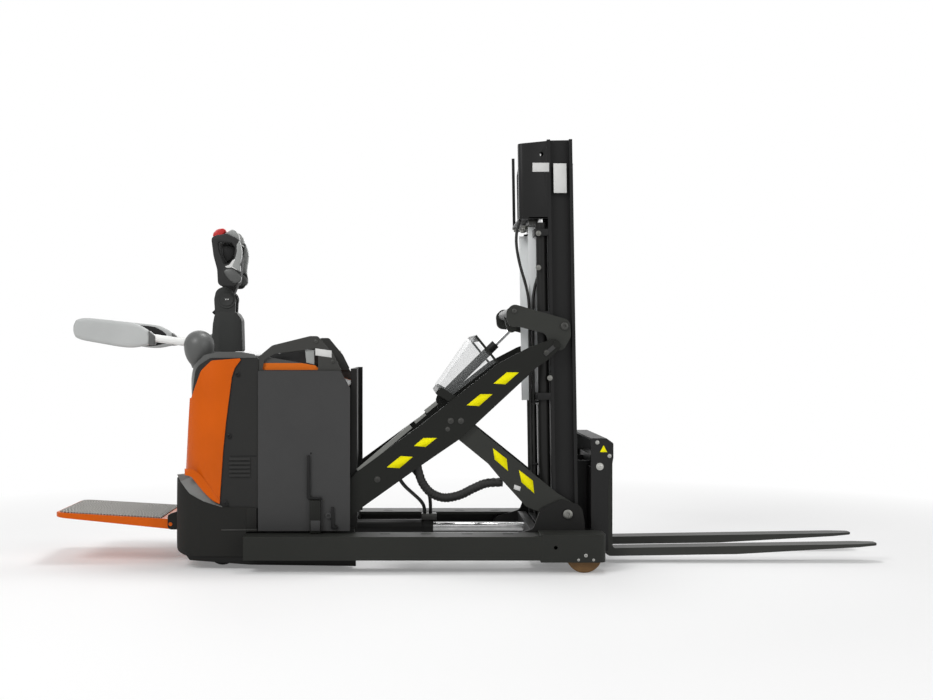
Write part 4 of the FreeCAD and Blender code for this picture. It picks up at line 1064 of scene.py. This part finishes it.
chassisRows = [
    # name, outline, plane, thickness, bevel, finish, material slot
    ("hoodBuckle", [(305, 349), (314.4, 350.6), (314.4, 364.5), (306.4, 362.6)], -0.3762, 0.0032, 0.0008,
     "palePlastic", "cap_grey"),
    ("guardLabel", [(315.4, 348.4), (331.7, 350.6), (331.7, 357.6), (315.4, 355.4)], -0.388, 0.0008, 0.0003,
     "labelWhite", "gate_white"),
    ("lockBar", [(307.2, 455.4), (309.9, 455.4), (310.2, 496.6), (321, 497.4), (321, 499.8), (308.8, 499.6),
                 (307, 497.8)], -0.4, 0.012, 0.0012, "lockPaint", "black_paint"),
    ("lockPost", [(310, 500), (320.8, 500), (320.8, 533), (310, 533)], -0.4, 0.022, 0.0015,
     "armPaint", "black_paint"),
    ("lockPostFoot", [(310.6, 520.6), (320.2, 520.6), (320.2, 531), (310.6, 531)], -0.4215, 0.0025, 0.0008,
     "panelPaint", "panel_grey"),
    ("latchLever", [(331, 507), (334, 507), (334.4, 525.6), (337.8, 526.4), (337.6, 529), (331.2, 528.4)],
     -0.4, 0.009, 0.0012, "lockPaint", "black_paint"),
    ("tractorSeam", [(230, 455.6), (256.4, 455.6), (256.4, 456.5), (230, 456.5)], -0.3928, 0.0016, 0.0004,
     "lockPaint", "black_paint"),
    # a black strip low along the skirt: a low guard strip, and also a painted shadow for the dark under the
    # truck
    ("lowStripAndShadow", [(184, 552), (246, 556), (356, 558), (356, 566), (250, 564.6), (190, 560)],
     -0.386, 0.006, 0.0015, "blackPaint", "black_paint"),
    ("tractorSill", [(221.4, 529.2), (257, 529.2), (257, 530.6), (221.4, 530.6)], -0.4, 0.002, 0.0005,
     "guardPaint", "panel_grey"),
]
louvres = {"count": 5, "left": 229, "right": 250.2, "top": 457.6, "pitch": 4.1, "height": 2.8,
           "upperPlane": -0.3932, "lowerPlane": -0.3995, "thick": 0.0012}
crease = {
    "upper": [(184.6, 468.6), (188.8, 468.8), (193, 469.6), (197.2, 472), (201.2, 475.6), (206, 481.2),
              (211.4, 488.6), (217.5, 497), (220, 500.6)],
    "lower": [(184.8, 475.2), (188.4, 475.8), (191.8, 477.4), (195, 481.4), (198.8, 486.4), (203.4, 491.8),
              (208.6, 497), (214.4, 501.6), (219.6, 504)],
    "upperPlane": -0.4004, "lowerPlane": -0.4075, "thick": 0.0016,
}


def chassisPieces():
    for name, outline, plane, thick, bevel, finish, slot in chassisRows:
        flatPair(name, "chassis", outline, plane, -thick, bevel, finish, slot)
    slats = []
    for index in range(louvres["count"]):
        top = louvres["top"] + index * louvres["pitch"]
        low = top + louvres["height"]
        upper = seenRow([(louvres["left"], top), (louvres["right"], top)], louvres["upperPlane"])
        lower = seenRow([(louvres["left"], low), (louvres["right"], low)], louvres["lowerPlane"])
        slats.append(ribbon("louvre%d" % index, upper, lower, louvres["thick"]))
    bothFaces(joined("louvresRight", slats), "louvresLeft", "chassis", "sidePaint")
    upper = seenRow(crease["upper"], crease["upperPlane"])
    lower = seenRow(crease["lower"], crease["lowerPlane"])
    lip = ribbon("panelLipRight", upper, lower, crease["thick"])
    modify(lip, "BEVEL", width=0.0005, segments=2, limit_method="ANGLE")
    bothFaces(lip, "panelLipLeft", "chassis", "orangePaint")
    print("chassis pieces set")


# Arm markers, covers, labels and plates

# body and plane of each arm, then name and outline of its yellow markers
markRows = {
    ("long_arm", -0.361): {
        "armMarkOne": [(506.7, 372.4), (519, 372.4), (505.5, 384.4), (493.5, 383.6)],
        "armMarkTwo": [(480.3, 394.2), (492.6, 394.2), (479.1, 406.2), (466.5, 405.4)],
        "armMarkThree": [(423.5, 438), (437, 438), (425.6, 447), (414, 446)],
        "armMarkFour": [(400.6, 456.1), (413, 456.8), (399.6, 468.3), (386.7, 467.4)],
    },
    ("short_arm", -0.343): {
        "shortMarkOne": [(492.9, 448.1), (506.7, 458.9), (508.1, 471.1), (494.8, 459.6)],
        "shortMarkTwo": [(518.9, 469.9), (532.9, 480.7), (534.3, 493.6), (521.4, 482.1)],
    },
}
armRows = [
    # name, body, outline, plane, thickness, bevel, finish, material slot
    ("armTag", "short_arm", [(514.4, 484.6), (520.8, 486.8), (520, 491.2), (513.6, 489)], -0.343, 0.0007,
     0.0002, "labelWhite", "gate_white"),
    ("keyPlate", "long_arm", [(543.3, 353.4), (556.8, 341.8), (559.6, 344.6), (546, 356.4)], -0.361, 0.005,
     0.001, "panelPaint", "zinc_steel"),
    ("beamLabel", "mast_outer", [(532.5, 162.8), (549.2, 162.8), (549.2, 171.8), (532.5, 171.8)], -0.322,
     0.0007, 0.0002, "labelWhite", "gate_white"),
    ("railLabel", "mast_outer", [(553.4, 163.4), (566.4, 163.4), (566.8, 193), (553.8, 193)], -0.322, 0.0007,
     0.0002, "labelWhite", "gate_white"),
    ("carriageSign", "carriage", [(599.9, 452.2), (607.3, 452.2), (603.6, 445.3)], -0.31, 0.0006, 0.0002,
     "yellowMark", "orange_paint"),
]


coverRows = {
    "cableCoverLow": [(356.4, 469.2), (409.4, 424.4), (412.4, 428), (359.2, 473)],
    "cableCoverMiddle": [(414, 421.6), (424.6, 413), (426.4, 415.2), (415.8, 424)],
    "cableCoverHigh": [(424, 410.4), (435.6, 401.2), (438, 404.2), (426.6, 413.6)],
}
guardSide = [(437.6, 388), (470.8, 339.4), (475, 339.2), (495.6, 362.6), (454, 394), (444, 395)]

# plane where it is one, thickness and bevel of the flat pieces above
flatSizes = {"guardSide": (-0.3, 0.003, 0.0006), "cover": (-0.359, 0.02, 0.0015), "mark": (-0.0005, 0.0002)}


def armPieces():
    side, cover, mark = flatSizes["guardSide"], flatSizes["cover"], flatSizes["mark"]
    flatPair("guardSide", "long_arm", guardSide, *side, "clearPlastic", "guard_clear")
    for name, outline in coverRows.items():
        piece = slab(name, seenRow(outline, cover[0]), (0.0, cover[1], 0.0), cover[2], 3)
        keep(piece, "long_arm", "coverPlastic")
    for (body, plane), marks in markRows.items():
        for name, outline in marks.items():
            flatPair(name, body, outline, plane, *mark, "yellowMark", "orange_paint")
    for name, body, outline, plane, thick, bevel, finish, slot in armRows:
        flatPair(name, body, outline, plane, -thick, bevel, finish, slot)
    print("arm pieces set")


boltRows = {
    # name: body, head, finish, material slot, then rows of column, row, plane and radius in millimetres
    "guardBolts": ("chassis", "socket", "darkSteel", "zinc_steel",
                   [(316, 341.5, -0.388, 8), (332.8, 361.6, -0.388, 8)]),
    "panelScrews": ("chassis", "socket", "lockPaint", "black_paint",
                    [(237.7, 374.5, -0.393, 10), (229.3, 436.2, -0.393, 10), (225.7, 503.6, -0.4, 10),
                     (320.6, 498.6, -0.412, 7), (336.2, 525.7, -0.409, 5), (311, 453.4, -0.4, 4)]),
    "latchKnob": ("chassis", "socket", "panelPaint", "cap_grey", [(328.5, 515.7, -0.4, 13.5)]),
    "armBolts": ("long_arm", "hexagon", "darkSteel", "zinc_steel",
                 [(450.8, 420.9, -0.361, 9), (461, 420.9, -0.361, 9), (447.7, 429.2, -0.361, 7),
                  (377.4, 479.5, -0.361, 9), (546.7, 352.5, -0.366, 8)]),
    "crankBolts": ("tilt_crank", "socket", "darkSteel", "zinc_steel",
                   [(564.5, 326.2, -0.343, 16), (514.3, 311, -0.343, 10)]),
    "mastBolts": ("mast_outer", "hexagon", "steel", "zinc_steel",
                  [(538.5, 233.4, -0.322, 8), (538.5, 267.6, -0.322, 8), (550, 378, -0.322, 8)]),
    "footPin": ("mast_foot", "socket", "steel", "zinc_steel", [(567.7, 514.2, -0.357, 20)]),
    "carriageBolts": ("carriage", "hexagon", "zinc", "zinc_steel",
                      [(597.4, 442.5, -0.31, 6), (609.6, 456, -0.31, 6), (599.9, 466.6, -0.31, 11)]),
    "wheelBolts": ("chassis", "hexagon", "zinc", "zinc_steel",
                   [(585.9, 555.6, -0.5105, 8), (578.6, 560, -0.5112, 6), (593.6, 560, -0.5112, 6)]),
}


def allBolts():
    models = {"socket": makeBolt("socketHead", 24, False), "hexagon": makeBolt("hexagonHead", 6, True)}
    for name, (body, head, finish, slot, rows) in boltRows.items():
        copies = []
        for index, (column, row, plane, radius) in enumerate(rows):
            seat = seen(column, row, plane) + Vector((0.0, bolt["sunk"], 0.0))
            matrix = Matrix.Translation(seat) @ Matrix.Scale(radius / 1000.0, 4)
            near = duplicate(models[head], "%s%d" % (name, index), matrix)
            copies += [near, mirrorY(near, "%sFar%d" % (name, index))]
        keep(joined(name, copies), body, finish)
    for model in models.values():
        removePiece(model)
    print("bolts set")


# Hoses that bend where the arms turn. Rows: x, y, z in millimetres, x from the datum

hosePlan = {
    "conduit": [(26, -329.7, 452), (38, -329.7, 392), (62, -324, 338), (106, -318, 300),
                (162, -314, 290), (222, -312, 306), (280, -311, 338), (338, -311, 360),
                (396, -311, 358)],
    "conduitRadius": 0.018, "ridge": 0.11,
    "reachLow": [(66, -6, 186), (67, -8, 214), (52, -70, 250), (20, -190, 292),
                 (-22, -300, 340), (-44, -336, 374), (-46, -350, 384)],
    "reachHigh": [(92, 6, 186), (93, 2, 220), (88, -70, 280), (60, -200, 340),
                  (24, -310, 396), (8, -338, 418), (6, -350, 424)],
    "reachRadius": 0.008, "valve": [(52, -26, 162), (120, 26, 190)],
}


def conduit():
    points = [place(*point) for point in hosePlan["conduit"]]
    piece = hoseLine("conduitHose", points, hosePlan["conduitRadius"], 12, hosePlan["ridge"])
    keep(piece, None, "hose", 80.0)
    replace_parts(piece, "hose_conduit")
    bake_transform(piece)
    print("conduit set")


def reachHoses():
    for name, key in (("reachHoseLow", "reachLow"), ("reachHoseHigh", "reachHigh")):
        points = [place(*point) for point in hosePlan[key]]
        piece = hoseLine(name, points, hosePlan["reachRadius"])
        keep(piece, None, "hose", 80.0)
        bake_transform(piece)
    low, high = [place(*corner) for corner in hosePlan["valve"]]
    keep(brick("valveBlock", low, high, 0.003), "chassis", "darkSteel")
    print("reach hoses set")


# Lift chains: one link, copied down each run and over its sheave. Millimetres before the mast's lean

def chainLink():
    # a block of side plates and the pin at its upper end
    half = chainPlan["pitch"] / 2000.0
    link = brick("chainLink", (-0.006, -0.0135, -half), (0.006, 0.0135, half), 0.0008)
    pin = rodY("chainPin", 12, 0.0035, 0.03, (0.0, 0.0, half))
    insetEnd(pin, [(0.001, -0.0006)])
    return joined("chainLink", [link, pin])


def liftChains():
    link = chainLink()
    height = chainPlan["sheaveZ"] - chainPlan["lowZ"]
    count = int(height / chainPlan["pitch"])
    step = height / count
    lean = leanMatrix()
    runs, turns = [], []
    for y in chainPlan["rows"]:
        for index in range(count):
            spot = place(chainPlan["runX"], y, chainPlan["lowZ"] + (index + 0.5) * step)
            runs.append(duplicate(link, "runLink", lean @ Matrix.Translation(spot)))
        middle = Matrix.Translation(place(chainPlan["sheaveX"], y, chainPlan["sheaveZ"]))
        out = Matrix.Translation(((chainPlan["runX"] - chainPlan["sheaveX"]) / 1000.0, 0.0, 0.0))
        for angle in (15, 45, 75, 105, 135, 165):
            turn = Matrix.Rotation(math.radians(-angle), 4, "Y")
            turns.append(duplicate(link, "turnLink", lean @ middle @ turn @ out))
    removePiece(link)
    turn = keep(joined("chainTurns", turns), "mast_inner", "darkSteel")
    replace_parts(turn, "lift_chains")
    run = keep(joined("chainRuns", runs), "mast_inner", "darkSteel")
    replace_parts(run, "lift_chains")
    anchor = lean @ place(chainPlan["runX"], 0.0, chainPlan["sheaveZ"])
    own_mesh(run)
    print("lift chains set")


# Fittings under the crossbeam, clamps on the mast's hoses, the column's knob

fittings = {
    "nuts": [(504, -150, 13), (536, -120, 15), (562, -90, 12), (508, -20, 14),
             (540, 20, 12), (566, 60, 14), (489, 150, 11), (496, 166, 11)],
    "underZ": 1483.2,
    "blockDrop": 15, "blockEnd": 110, "clampHalf": 4,
    "block": [(512, -258, 1466), (604, 100, 1485)],
    "clamps": [(1010, 522, 552, -259, -241), (700, 523, 553, -259, -241),
               (431, 524, 554, -259, -241)],
    "knob": [(211.8, 312.4), (215.8, 308.8), (218.8, 311.2), (214.8, 315.2)],
}


def mastPieces():
    nut = makeBolt("nut", 6, True)
    upright = Matrix.Rotation(math.pi / 2, 4, "X")
    copies = []
    for index, (x, y, radius) in enumerate(fittings["nuts"]):
        drop = fittings["blockDrop"] if y < fittings["blockEnd"] else 0.0
        spot = place(x, y, fittings["underZ"] - drop)
        size = radius / 1000.0
        matrix = Matrix.Translation(spot) @ upright @ Matrix.Diagonal((size, size * 2, size, 1.0))
        copies.append(duplicate(nut, "fitting%d" % index, matrix))
    removePiece(nut)
    keep(joined("shelfFittings", copies), "mast_outer", "steel")
    low, high = [place(*corner) for corner in fittings["block"]]
    keep(brick("shelfManifold", low, high, 0.002), "mast_outer", "darkSteel")
    clamps, half = [], fittings["clampHalf"]
    for z, x0, x1, y0, y1 in fittings["clamps"]:
        clamps.append(brick("hoseClamp", place(x0, y0, z - half), place(x1, y1, z + half), 0.0012))
    keep(joined("hoseClamps", clamps), "mast_outer", "lockPaint")
    knob = slab("columnKnob", seenRow(fittings["knob"], -0.02), (0.0, 0.04, 0.0), 0.003, 3)
    keep(knob, "tiller_column", "lockPaint")
    print("mast pieces set")


makeStage()
finishes = makeFinishes()
finishNodes(finishes)
conduit()
reachHoses()
gatePads()
padBacks()
gateHubs()
tillerHead()
tillerPieces()
orangePanels()
crossBeam()
brackets()
mastHoses()
chassisPieces()
armPieces()
allBolts()
liftChains()
mastPieces()
